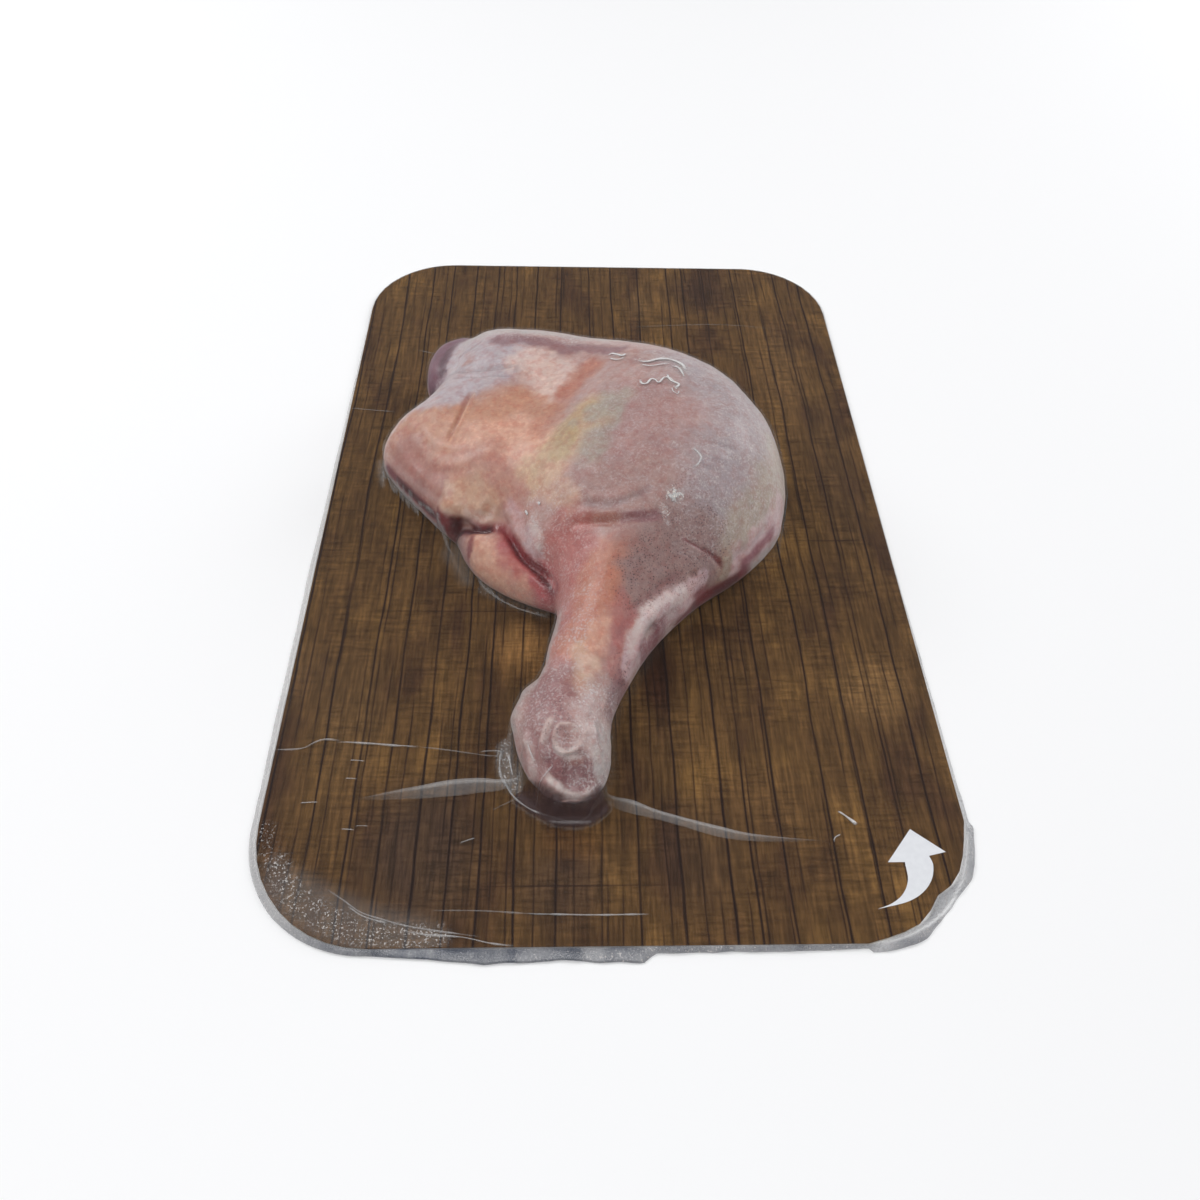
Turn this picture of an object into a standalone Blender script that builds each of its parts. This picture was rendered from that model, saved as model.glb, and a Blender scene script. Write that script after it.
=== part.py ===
"""Raw duck leg in a vacuum skin pack: a printed backing card, the leg lying on it, and the clear film
drawn down over both. Metres, +Z up. The origin is on the card's underside, at the middle of the card.
+Y runs from the leg's ankle to its thigh, +X to the right of someone who looks along +Y.
"""

import math

import bmesh
import bpy
import numpy as np
from mathutils import Vector
from mathutils.bvhtree import BVHTree
from mathutils.geometry import delaunay_2d_cdt

MM = 0.001

# Card
CARD_WIDTH = 160 * MM
CARD_LENGTH = 250 * MM
CARD_THICKNESS = 1.0 * MM
CARD_CORNER = 27.5 * MM
CORNER_SEGMENTS = 10
GRIP_TRIM = 1.4 * MM  # how far the opening corner's edge lies inside the other corners' round
GRIP_DENT = (46, 14, 1.8 * MM)  # the dent in that corner's edge: turn and half width in degrees, depth

# Gaps that keep neighbouring faceted solids apart
REST_GAP = 0.3 * MM

# Film
FILM_THICKNESS = 0.35 * MM
FILM_CLEARANCE = 0.8 * MM  # between the leg's surface and the film's inner face
FILM_LEAST_GAP = 0.25 * MM  # kept between their facets everywhere
FILM_BRIDGE = 3.5 * MM  # radius of the smallest hollow that the film is drawn into
FILM_OVERHANG = {"side": 2.0 * MM, "back": 1.2 * MM, "front": 2.6 * MM}
FILM_GRIP_REACH = 29.4 * MM  # the film's edge from the opening corner's middle, where it is round
FILM_GRIP_CHORD = 27.9 * MM  # and at the middle of its straight part
FILM_DROOP = 0.5 * MM
PUSH_PASSES = 8
PUSH_LIMIT = 5 * MM  # a face further in than this belongs to another part of the film
MAP_STEP = 0.5 * MM  # spacing of the height map that the film is worked out on

# Leg. The widest girth lies above the card and the flesh tucks in below it.
LEG_FLOOR = CARD_THICKNESS + REST_GAP
GIRTH_HEIGHT = 7.5 * MM
TUCK = 4.5 * MM
BODY_SHOULDER = 23 * MM
SHANK_SHOULDER = 12.5 * MM
SHANK_TOP_Y = -30 * MM
SHANK_FULL_Y = -56 * MM

# The two smaller masses of the leg: (height, girth height, tuck, shoulder)
LOBE_SHAPE = (12.5 * MM, 4.5 * MM, 2 * MM, 9 * MM)
NUB_SHAPE = (19 * MM, 8 * MM, 3 * MM, 8 * MM)

# Plan outlines in millimetres, anticlockwise from the ankle's tip. A smooth closed curve joins the points.
BODY_OUTLINE = (
    (-9, -95.5), (-3, -93), (-0.5, -86), (-0.5, -76), (3.2, -66.5), (9, -56), (15.5, -47.5),
    (24.5, -38.5), (34, -31.5), (43, -22.5), (49, -12), (51, 1), (49.5, 15), (43.5, 29.5), (32, 43),
    (16, 53), (-3, 59.5), (-22, 63.5), (-37, 63.5), (-46, 57), (-49.5, 47), (-51, 38.5), (-56, 30),
    (-61.5, 22.5), (-64.5, 15.5), (-58.5, 5.5), (-50, -5), (-42.5, -13), (-35.5, -16), (-30, -16.5),
    (-26, -21), (-21.5, -28), (-15.8, -34), (-13.8, -44), (-16.5, -57), (-21.5, -69), (-24, -78),
    (-21, -88), (-16, -93.5),
)
LOBE_OUTLINE = (
    (3, -28), (-4, -14), (-15, -4), (-29, 0), (-39, -5), (-41.5, -16), (-37, -26.5), (-29, -33.5),
    (-19, -38.5), (-8, -41.5), (1, -38),
)
NUB_OUTLINE = ((-33, 50), (-39, 61.5), (-47.5, 60.5), (-52.5, 54.5), (-53.5, 46), (-50.5, 38), (-40, 37))
FILM_FOOT = (
    (-9.5, -98.5), (-2, -96.5), (2.5, -89), (3, -77.5), (6.5, -68), (12.3, -58), (19, -50), (27.5, -41.8),
    (37, -34.8), (46.5, -25.2), (52.5, -13), (54.5, 1), (53, 16.5), (46.5, 31.5), (34, 45.8), (17, 56.3),
    (-2.5, 63), (-22, 67), (-38.5, 67.3), (-50.5, 62.5), (-56.3, 53), (-57, 42), (-60.5, 32), (-66, 23.8),
    (-68.5, 15.5), (-62, 4), (-53, -7.5), (-47.5, -15.5), (-44.5, -25), (-38.5, -33), (-29, -38.5),
    (-19.8, -42.5), (-17.3, -50), (-20.3, -60), (-25.3, -70), (-28, -78.5), (-25.5, -90), (-18, -97),
)

# Height of the flesh along the leg, before the swells: (y, height) in millimetres
BODY_LEVELS = (
    (-96, 15.5), (-88, 18), (-76, 18.5), (-62, 20.5), (-46, 24), (-28, 27), (0, 27.5), (34, 27.5), (64, 25),
)

# Swells and hollows of the flesh: (x, y, half length, half width, turn in degrees, rise), millimetres
BODY_SWELLS = {
    "calf": (15, 4, 30, 25, 60, 10.5),
    "calf_end": (32, -8, 16, 14, 50, 2.5),
    "thigh": (-42, 12, 16, 12, 35, -1.5),
    "rear_fold": (-28, 54, 26, 7, -8, 2.2),
    "thigh_valley": (-20, 12, 28, 7, 68, -3.0),
    "ankle_joint": (-13, -84, 8, 8, 0, 2.2),
    "ankle_hollow": (-11, -93, 4, 3, 0, -2.0),
    "ankle_waist": (-11, -70, 14, 6, 0, -0.8),
}
LOBE_SWELLS = {"belly": (-30, -22, 14, 9, -35, 1.5)}

# Creases and folds of the skin: (points of the line, half width, rise), millimetres
BODY_FOLDS = {
    "thigh_seam": (((-1, 33), (-8, 19), (-14, 7), (-22, -6)), 3.0, -1.6),
    "hip_fold": (((-50, 34), (-45, 30.5), (-39, 31.7), (-32, 31), (-26, 28)), 2.2, -1.4),
    "hip_roll": (((-48, 38), (-38, 38), (-28, 36)), 3.5, 1.2),
    "thigh_crease": (((-40, 25), (-43, 13.5), (-45, 3)), 2.0, -1.4),
    "calf_crease": (((-11, -31), (2, -31), (14, -30)), 2.0, -0.9),
    "calf_arc": (((-6, -22), (5, -19), (18, -27)), 2.2, -0.6),
    "skin_flap": (((30, -32), (23, -35.5), (18, -40), (13.5, -47), (9.5, -54), (5.5, -61)), 2.4, 1.7),
    "flap_gutter": (((20, -32), (13, -39), (8.5, -47), (4, -56)), 3.0, -1.2),
    "neck_lip": (((-31, -12), (-23.5, -20), (-18, -28), (-12, -33)), 2.4, 1.3),
}

# Mesh: points round each outline, the insets of the rings inside it, and the spacing of the points within
CURVE_STEPS = 16
BODY_POINTS = 120
LOBE_POINTS = 48
NUB_POINTS = 36
FILM_POINTS = 112
BELOW_GIRTH = (0.3, 0.62, 1.0)
LEG_INSETS = (0.6 * MM, 1.3 * MM, 2.2 * MM)
FILM_INSETS = (0.6 * MM, 0.7 * MM, 0.8 * MM, 1.0 * MM, 1.3 * MM, 1.8 * MM)
BODY_STEP = 3.1 * MM
SMALL_STEP = 3.4 * MM
FILM_STEP = 3.9 * MM


def clear_scene():
    for obj in list(bpy.data.objects):
        bpy.data.objects.remove(obj, do_unlink=True)


def material(name, colour, roughness, alpha=1.0):
    mat = bpy.data.materials.new(name)
    mat.use_nodes = True
    shader = mat.node_tree.nodes["Principled BSDF"]
    shader.inputs["Base Color"].default_value = (*colour, 1.0)
    shader.inputs["Roughness"].default_value = roughness
    shader.inputs["Metallic"].default_value = 0.0
    shader.inputs["Alpha"].default_value = alpha
    mat.diffuse_color = (*colour, alpha)
    return mat


def new_object(name, bm, mat=None):
    mesh = bpy.data.meshes.new(name)
    bm.to_mesh(mesh)
    bm.free()
    mesh.shade_smooth()
    obj = bpy.data.objects.new(name, mesh)
    bpy.context.scene.collection.objects.link(obj)
    if mat:
        mesh.materials.append(mat)
    return obj


def smooth_loop(anchors, count):
    """A closed Catmull-Rom curve through the anchors (millimetres), as evenly spaced points in metres."""
    points = np.array(anchors, float) * MM
    steps = np.linspace(0, 1, CURVE_STEPS, endpoint=False)[:, None]
    pieces = []
    for i in range(len(points)):
        a, b, c, d = (points[(i + k) % len(points)] for k in (-1, 0, 1, 2))
        pieces.append(
            b
            + 0.5 * steps * (c - a)
            + steps**2 * (a - 2.5 * b + 2 * c - 0.5 * d)
            + steps**3 * (1.5 * (b - c) + 0.5 * (d - a))
        )
    fine = np.concatenate(pieces)
    return even_loop(fine, count)


def even_loop(points, count):
    closed = np.vstack([points, points[:1]])
    length = np.concatenate([[0], np.cumsum(np.linalg.norm(np.diff(closed, axis=0), axis=1))])
    wanted = np.linspace(0, length[-1], count, endpoint=False)
    return np.stack([np.interp(wanted, length, closed[:, k]) for k in (0, 1)], axis=1)


def nearest_on(path, points, closed):
    """(nearest point of a polyline, distance to it) for each of the points."""
    ends = np.vstack([path, path[:1]]) if closed else path
    start, run = ends[:-1], np.diff(ends, axis=0)
    offset = points[:, None, :] - start[None]
    share = (offset * run).sum(2) / np.maximum((run**2).sum(1), 1e-18)
    foot = start[None] + np.clip(share, 0, 1)[..., None] * run[None]
    gaps = np.linalg.norm(points[:, None, :] - foot, axis=2)
    best = gaps.argmin(axis=1)
    rows = np.arange(len(points))
    return foot[rows, best], gaps[rows, best]


def smooth_around(loop, times, share=0.5):
    for _ in range(times):
        loop = loop + share * (0.5 * (np.roll(loop, 1, axis=0) + np.roll(loop, -1, axis=0)) - loop)
    return loop


def inset(ring, distance):
    """An anticlockwise ring moved inwards along its own normals and lightly smoothed."""
    along = np.roll(ring, -1, axis=0) - np.roll(ring, 1, axis=0)
    inward = np.stack([-along[:, 1], along[:, 0]], axis=1)
    inward /= np.linalg.norm(inward, axis=1)[:, None]
    return smooth_around(ring + distance * inward, 2, 0.35)


def inside(ring, points):
    """Which of the points lie inside a closed ring, by counting the edges to their right."""
    ahead = np.roll(ring, -1, axis=0)
    crosses = (ring[None, :, 1] > points[:, None, 1]) != (ahead[None, :, 1] > points[:, None, 1])
    slope = (ahead[:, 0] - ring[:, 0]) / (ahead[:, 1] - ring[:, 1] + 1e-15)
    reach = ring[None, :, 0] + slope[None] * (points[:, None, 1] - ring[None, :, 1])
    return (crosses & (points[:, None, 0] < reach)).sum(1) % 2 == 1


def grid_inside(ring, step):
    """Points of a triangular grid that lie inside a ring, clear of its edge."""
    low, high = ring.min(0), ring.max(0)
    rows = []
    for k, y in enumerate(np.arange(low[1], high[1], step * math.sqrt(0.75))):
        xs = np.arange(low[0] + (k % 2) * step / 2, high[0], step)
        rows.append(np.stack([xs, np.full(len(xs), y)], axis=1))
    points = np.concatenate(rows)
    points = points[inside(ring, points)]
    return points[nearest_on(ring, points, closed=True)[1] > 0.6 * step]


def swell(points, places):
    """The summed rise of some swells at plan points, in metres."""
    total = np.zeros(len(points))
    for x, y, half_length, half_width, turn, rise in places.values():
        angle = math.radians(turn)
        dx, dy = points[:, 0] / MM - x, points[:, 1] / MM - y
        along = dx * math.cos(angle) + dy * math.sin(angle)
        across = dy * math.cos(angle) - dx * math.sin(angle)
        total += rise * MM * np.exp(-0.5 * ((along / half_length) ** 2 + (across / half_width) ** 2))
    return total


def fold(points, folds):
    """The summed rise of some folds at plan points, in metres. A fold fades out at the ends of its line."""
    total = np.zeros(len(points))
    for path, half_width, rise in folds.values():
        line = np.array(path, float) * MM
        foot, gap = nearest_on(line, points, closed=False)
        ends = np.minimum(*(np.linalg.norm(foot - end, axis=1) for end in (line[0], line[-1])))
        fade = np.clip(ends / (2.5 * half_width * MM), 0.25, 1)
        total += rise * MM * fade * np.exp(-0.5 * (gap / (half_width * MM)) ** 2)
    return total


def shoulder(points):
    """How far in from the outline the flesh takes to reach its height: less along the shank."""
    share = np.clip((points[:, 1] - SHANK_FULL_Y) / (SHANK_TOP_Y - SHANK_FULL_Y), 0, 1)
    share = share * share * (3 - 2 * share)
    return SHANK_SHOULDER + share * (BODY_SHOULDER - SHANK_SHOULDER)


def body_height(points):
    levels = np.array(BODY_LEVELS, float) * MM
    level = np.interp(points[:, 1], levels[:, 0], levels[:, 1])
    return level + swell(points, BODY_SWELLS) + fold(points, BODY_FOLDS)


def edges_within(verts):
    """The edges whose two ends are both among the vertices."""
    chosen = set(verts)
    return [edge for edge in {e for v in verts for e in v.link_edges} if chosen.issuperset(edge.verts)]


def extruded_ring(bm, ring):
    """Extrudes a loop of edges where it lies and returns the new loop's vertices, in the same order."""
    bmesh.ops.extrude_edge_only(bm, edges=edges_within(ring))
    old = set(ring)
    grown = []
    for vert in ring:
        others = [edge.other_vert(vert) for edge in vert.link_edges]
        grown.append(next(v for v in others if v not in old and len(v.link_edges) == 3 and v.co == vert.co))
    return grown


def place(verts, plan, level):
    for vert, (x, y), z in zip(verts, plan, np.broadcast_to(level, (len(verts),))):
        vert.co = Vector((x, y, z))


def fill_inside(bm, ring, step, height):
    """Fills a loop of vertices with a triangulated grid of points at their own heights."""
    edge = np.array([vert.co.xy for vert in ring])
    grid = grid_inside(edge, step)
    points = [Vector(point) for point in np.concatenate([edge, grid])]
    border = list(range(len(ring)))
    flat, _, triangles, _, _, _ = delaunay_2d_cdt(points, [], [border], 1, 1e-9)
    verts = list(ring) + [bm.verts.new((x, y, z)) for (x, y), z in zip(grid, height(grid))]
    if len(flat) != len(verts):
        raise ValueError("a ring crosses itself")
    for triangle in triangles:
        bm.faces.new([verts[i] for i in triangle])


def circle_of(bm, count):
    """A loop of vertices, in order, for place() to put where they belong."""
    ring = bmesh.ops.create_circle(bm, cap_ends=False, segments=count, radius=1.0)["verts"]
    return sorted(ring, key=lambda v: math.atan2(v.co.y, v.co.x) % (2 * math.pi))


def pillow(name, outline, height, girth, tuck, reach):
    """A closed mound on the card: a flat underside, sides that bulge out to the outline, and a domed top.
    height(points) is the dome's height, and reach(points) how far in the dome takes to rise to it."""
    def dome(points):
        _, depth = nearest_on(outline, points, closed=True)
        part = np.clip(depth / reach(points), 0, 1)
        return girth + (height(points) - girth) * np.sqrt(1 - (1 - part) ** 2)

    bm = bmesh.new()
    ring = circle_of(bm, len(outline))
    inward = inset(outline, tuck) - outline
    place(ring, outline + inward, LEG_FLOOR)
    foot = ring
    for turn in BELOW_GIRTH:
        angle = turn * math.pi / 2
        ring = extruded_ring(bm, ring)
        level = LEG_FLOOR + (girth - LEG_FLOOR) * (1 - math.cos(angle))
        place(ring, outline + (1 - math.sin(angle)) * inward, level)
    plan = outline
    for distance in LEG_INSETS:
        plan = inset(plan, distance)
        ring = extruded_ring(bm, ring)
        place(ring, plan, dome(plan))
    fill_inside(bm, ring, BODY_STEP if len(outline) > LOBE_POINTS else SMALL_STEP, dome)
    bmesh.ops.triangle_fill(bm, use_beauty=True, use_dissolve=False, edges=edges_within(foot))
    bmesh.ops.recalc_face_normals(bm, faces=bm.faces)
    return new_object(name, bm)


def constant(value):
    return lambda points: np.full(len(points), value)


def leg_masses():
    """The masses of flesh that the leg is fused from."""
    lobe_height, lobe_girth, lobe_tuck, lobe_shoulder = LOBE_SHAPE
    nub_height, nub_girth, nub_tuck, nub_shoulder = NUB_SHAPE
    return [
        pillow("body", smooth_loop(BODY_OUTLINE, BODY_POINTS), body_height, GIRTH_HEIGHT, TUCK, shoulder),
        pillow(
            "lobe", smooth_loop(LOBE_OUTLINE, LOBE_POINTS),
            lambda points: lobe_height + swell(points, LOBE_SWELLS),
            lobe_girth, lobe_tuck, constant(lobe_shoulder),
        ),
        pillow(
            "nub", smooth_loop(NUB_OUTLINE, NUB_POINTS),
            constant(nub_height), nub_girth, nub_tuck, constant(nub_shoulder),
        ),
    ]


def make_leg(mat):
    """One solid: the masses joined by a single Boolean union."""
    masses = leg_masses()
    leg = masses[0]
    others = bpy.data.collections.new("leg_masses")
    bpy.context.scene.collection.children.link(others)
    for mass in masses[1:]:
        bpy.context.scene.collection.objects.unlink(mass)
        others.objects.link(mass)
    union = leg.modifiers.new("join", "BOOLEAN")
    union.operation = "UNION"
    union.operand_type = "COLLECTION"
    union.collection = others
    union.solver = "EXACT"
    graph = bpy.context.evaluated_depsgraph_get()
    fused = bpy.data.meshes.new_from_object(leg.evaluated_get(graph))
    leg.modifiers.clear()
    leg.data = fused
    leg.name = "duck_leg"
    fused.materials.clear()
    fused.materials.append(mat)
    fused.shade_smooth()
    for mass in masses[1:]:
        bpy.data.objects.remove(mass, do_unlink=True)
    bpy.data.collections.remove(others)
    return leg


def from_grip(point):
    """A plan point as seen from the middle of the opening corner's round."""
    return point.xy - Vector((CARD_WIDTH / 2 - CARD_CORNER, -CARD_LENGTH / 2 + CARD_CORNER))


def card_outline(bm):
    """The card's flat outline as one face: a rectangle with round corners, one trimmed and dented."""
    made = bmesh.ops.create_grid(bm, x_segments=1, y_segments=1, size=0.5)
    for vert in made["verts"]:
        vert.co.x *= CARD_WIDTH
        vert.co.y *= CARD_LENGTH
    bmesh.ops.bevel(
        bm, geom=list(bm.verts), offset=CARD_CORNER, offset_type="OFFSET", segments=CORNER_SEGMENTS,
        profile=0.5, affect="VERTICES", material=-1,
    )
    dent_turn, dent_width, dent_depth = GRIP_DENT
    for vert in bm.verts:
        away = from_grip(vert.co)
        if away.x > 0 > away.y:
            turn = math.atan2(-away.y, away.x)
            dent = max(0, 1 - abs(math.degrees(turn) - dent_turn) / dent_width)
            trim = GRIP_TRIM * math.sqrt(math.sin(2 * turn)) + dent_depth * dent
            vert.co.xy -= away.normalized() * trim


def make_card(mat):
    bm = bmesh.new()
    card_outline(bm)
    made = bmesh.ops.extrude_face_region(bm, geom=list(bm.faces))
    bmesh.ops.translate(
        bm, vec=(0, 0, CARD_THICKNESS), verts=[v for v in made["geom"] if isinstance(v, bmesh.types.BMVert)]
    )
    bmesh.ops.recalc_face_normals(bm, faces=bm.faces)
    return new_object("backing_card", bm, mat)


def height_map(leg, tree):
    """The card and the leg from above, on a square grid: (x, y of the first point, heights in metres)."""
    xs = np.arange(-CARD_WIDTH / 2, CARD_WIDTH / 2 + MAP_STEP, MAP_STEP)
    ys = np.arange(-CARD_LENGTH / 2, CARD_LENGTH / 2 + MAP_STEP, MAP_STEP)
    heights = np.full((len(xs), len(ys)), LEG_FLOOR - FILM_CLEARANCE)
    low, high = (np.array(leg.bound_box).min(0), np.array(leg.bound_box).max(0))
    for i, x in enumerate(xs):
        for j, y in enumerate(ys):
            if low[0] <= x <= high[0] and low[1] <= y <= high[1]:
                hit = tree.ray_cast(Vector((x, y, 1)), Vector((0, 0, -1)))[0]
                if hit:
                    heights[i, j] = hit.z
    return xs[0], ys[0], heights


def roll_ball(heights, radius, side):
    """The heights that a ball's centre keeps as it rolls over the map (side 1) or under it (side -1)."""
    reach = int(radius / MAP_STEP)
    padded = np.pad(heights, reach, mode="edge")
    wide, deep = heights.shape
    rolled = None
    for i in range(-reach, reach + 1):
        for j in range(-reach, reach + 1):
            drop = radius**2 - (i * i + j * j) * MAP_STEP**2
            if drop < 0:
                continue
            part = padded[reach + i : reach + i + wide, reach + j : reach + j + deep]
            part = part + side * math.sqrt(drop)
            if rolled is None:
                rolled = part
            else:
                rolled = np.maximum(rolled, part) if side > 0 else np.minimum(rolled, part)
    return rolled


def read_map(xs, ys, heights, points):
    """Heights at plan points, between the map's own."""
    u = np.clip((points[:, 0] - xs) / MAP_STEP, 0, heights.shape[0] - 1.001)
    v = np.clip((points[:, 1] - ys) / MAP_STEP, 0, heights.shape[1] - 1.001)
    i, j = u.astype(int), v.astype(int)
    s, t = u - i, v - j
    near = heights[i, j] * (1 - s) + heights[i + 1, j] * s
    far = heights[i, j + 1] * (1 - s) + heights[i + 1, j + 1] * s
    return near * (1 - t) + far * t


def push_clear(bm, tree, gap):
    """Moves the faces that come nearer than the gap to the solid in the tree straight away from it."""
    for _ in range(PUSH_PASSES):
        moves = {}
        for face in bm.faces:
            samples = [face.calc_center_median()]
            samples += [(edge.verts[0].co + edge.verts[1].co) / 2 for edge in face.edges]
            for point in samples:
                near, normal, _, _ = tree.find_nearest(point)
                short = gap - (point - near).dot(normal)
                if 0 < short < PUSH_LIMIT:
                    for vert in face.verts:
                        if short > moves.get(vert, Vector()).length:
                            moves[vert] = normal * short
        for vert, move in moves.items():
            vert.co += move
        if not moves:
            break


def overhang(point):
    """How far the film reaches past the card's edge at a point of that edge."""
    away = from_grip(point)
    if away.x > 0 > away.y:
        diagonal = away.normalized().dot(Vector((1, -1)).normalized())
        return min(FILM_GRIP_REACH, FILM_GRIP_CHORD / diagonal) - away.length
    if point.y > CARD_LENGTH / 2 - CARD_CORNER:
        return FILM_OVERHANG["back"]
    if point.y < -CARD_LENGTH / 2 + CARD_CORNER:
        return FILM_OVERHANG["front"]
    return FILM_OVERHANG["side"]


def make_film(leg, mat):
    """One thin closed shell: flat on the card out to past its edge, and drawn down over the leg."""
    tree = BVHTree.FromObject(leg, bpy.context.evaluated_depsgraph_get())
    first_x, first_y, heights = height_map(leg, tree)
    drawn = roll_ball(roll_ball(heights, FILM_BRIDGE + FILM_CLEARANCE, 1), FILM_BRIDGE, -1)

    def level(points):
        return np.maximum(read_map(first_x, first_y, drawn, points), LEG_FLOOR)

    bm = bmesh.new()
    card_outline(bm)
    bmesh.ops.translate(bm, vec=(0, 0, LEG_FLOOR), verts=bm.verts)
    bmesh.ops.delete(bm, geom=list(bm.faces), context="FACES_ONLY")
    rim = list(bm.edges)
    grown = bmesh.ops.extrude_edge_only(bm, edges=rim)["geom"]
    straight = Vector((CARD_WIDTH / 2 - CARD_CORNER, CARD_LENGTH / 2 - CARD_CORNER))
    for vert in [item for item in grown if isinstance(item, bmesh.types.BMVert)]:
        inner = Vector([max(-limit, min(limit, place)) for place, limit in zip(vert.co.xy, straight)])
        vert.co.xy += (vert.co.xy - inner).normalized() * overhang(vert.co)
        vert.co.z -= FILM_DROOP

    plan = smooth_loop(FILM_FOOT, FILM_POINTS)
    ring = circle_of(bm, FILM_POINTS)
    place(ring, plan, LEG_FLOOR)
    foot = edges_within(ring)
    for distance in FILM_INSETS:
        plan = inset(plan, distance)
        ring = extruded_ring(bm, ring)
        place(ring, plan, level(plan))
    fill_inside(bm, ring, FILM_STEP, level)
    push_clear(bm, tree, FILM_LEAST_GAP)
    bmesh.ops.triangle_fill(bm, use_beauty=True, use_dissolve=False, edges=rim + foot)
    bmesh.ops.recalc_face_normals(bm, faces=bm.faces)
    if sum(face.normal.z for face in bm.faces) < 0:
        bmesh.ops.reverse_faces(bm, faces=bm.faces)
    film = new_object("skin_film", bm, mat)
    wall = film.modifiers.new("wall", "SOLIDIFY")
    wall.thickness = FILM_THICKNESS
    wall.offset = 1.0
    wall.use_rim = True
    return film


def main():
    clear_scene()
    make_card(material("printed_card", (0.145, 0.085, 0.045), 0.35))
    leg = make_leg(material("duck_skin", (0.62, 0.42, 0.38), 0.45))
    make_film(leg, material("clear_film", (0.86, 0.88, 0.90), 0.12, alpha=0.25))


main()
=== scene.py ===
import math

import bmesh
import bpy
import numpy as np
from mathutils import Matrix, Vector
from mathutils.bvhtree import BVHTree


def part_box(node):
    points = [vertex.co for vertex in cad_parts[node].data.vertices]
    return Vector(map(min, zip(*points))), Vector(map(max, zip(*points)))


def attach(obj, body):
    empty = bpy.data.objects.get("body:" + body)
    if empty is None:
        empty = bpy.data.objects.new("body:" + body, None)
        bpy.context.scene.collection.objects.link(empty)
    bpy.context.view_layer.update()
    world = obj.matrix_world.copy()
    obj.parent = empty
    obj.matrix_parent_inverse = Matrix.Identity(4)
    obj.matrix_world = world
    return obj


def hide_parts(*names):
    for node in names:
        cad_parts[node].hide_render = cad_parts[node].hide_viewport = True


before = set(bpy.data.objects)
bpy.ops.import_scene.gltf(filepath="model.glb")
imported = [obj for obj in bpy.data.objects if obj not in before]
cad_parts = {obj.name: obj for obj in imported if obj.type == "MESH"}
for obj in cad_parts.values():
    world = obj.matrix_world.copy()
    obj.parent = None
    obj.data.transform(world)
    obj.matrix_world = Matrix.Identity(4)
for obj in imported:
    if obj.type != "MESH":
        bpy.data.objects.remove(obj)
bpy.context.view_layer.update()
print("frame loaded:", ", ".join(sorted(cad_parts)))

mm = 0.001
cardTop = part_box("backing_card")[1].z


# small helpers for numbers

def blendIn(value, low, high):
    # 0 below low, 1 above high, with soft ends
    share = np.clip((value - low) / (high - low), 0, 1)
    return share * share * (3 - 2 * share)


def softNoise(places, size, seed=0):
    # smooth random bumps of the given size, from -1 to 1
    places = np.asarray(places) / size
    cell = np.floor(places).astype(np.int64)
    part = places - cell
    ease = part * part * (3 - 2 * part)
    total = np.zeros(len(places))
    for corner in range(8):
        step = np.array([corner & 1, corner >> 1 & 1, corner >> 2])
        at = cell + step
        mixed = at[:, 0] * 73856093 ^ at[:, 1] * 19349663 ^ at[:, 2] * 83492791 ^ (seed + 7) * 265443577
        mixed = (mixed ^ mixed >> 13) * 1274126177 & 0xFFFFFFFF
        value = (mixed >> 9 & 0xFFFF) / 32767.5 - 1
        total += np.prod(np.where(step, ease, 1 - ease), axis=1) * value
    return total


def curveThrough(anchors, steps=6):
    # a smooth open line through a few points in plan
    dots = [np.array(a, float) for a in anchors]
    if len(dots) < 3:
        return np.array(dots)
    dots = [2 * dots[0] - dots[1]] + dots + [2 * dots[-1] - dots[-2]]
    line = []
    for a, b, c, d in zip(dots, dots[1:], dots[2:], dots[3:]):
        for i in range(steps):
            t = i / steps
            line.append(0.5 * (2 * b + (c - a) * t + (2 * a - 5 * b + 4 * c - d) * t * t
                               + (3 * b - a - 3 * c + d) * t ** 3))
    line.append(dots[-2])
    return np.array(line)


def nearPath(plan, path, reach):
    # distance in plan from a path, and the share of its length, for the places within reach
    line = curveThrough(path)
    low, high = line.min(0) - reach, line.max(0) + reach
    close = np.flatnonzero(np.all((plan > low) & (plan < high), axis=1))
    spots = plan[close]
    best = np.full(len(spots), 1e6)
    share = np.zeros(len(spots))
    for i, (a, b) in enumerate(zip(line, line[1:])):
        way = b - a
        t = np.clip((spots - a) @ way / max(way @ way, 1e-9), 0, 1)
        gap = np.hypot(*(spots - a - t[:, None] * way).T)
        nearer = gap < best
        best[nearer] = gap[nearer]
        share[nearer] = (i + t[nearer]) / (len(line) - 1)
    return close, best, share


def strokesMask(plan, strokes):
    # the strongest of some soft strokes at each place in plan
    mask = np.zeros(len(plan))
    for strength, reach, soft, path in strokes:
        close, gap, _ = nearPath(plan, path, reach + soft)
        mask[close] = np.maximum(mask[close], strength * blendIn(-gap, -(reach + soft), -reach))
    return mask


def linear(tone):
    # a colour from 0-255 screen values to the linear values that Blender mixes
    screen = np.array(tone, float) / 255
    return np.where(screen <= 0.04045, screen / 12.92, ((screen + 0.055) / 1.055) ** 2.4)


def rgba(tone):
    return (*linear(tone), 1.0)


# small helpers for meshes and objects

def addObject(name, mesh):
    thing = bpy.data.objects.new(name, mesh)
    bpy.context.scene.collection.objects.link(thing)
    return thing


def meshFrom(bm, name):
    bmesh.ops.recalc_face_normals(bm, faces=bm.faces)
    mesh = bpy.data.meshes.new(name)
    bm.to_mesh(mesh)
    bm.free()
    mesh.shade_smooth()
    return mesh


def readPoints(mesh):
    flat = np.empty(len(mesh.vertices) * 3, np.float32)
    mesh.vertices.foreach_get("co", flat)
    return flat.reshape(-1, 3).astype(float)


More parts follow.
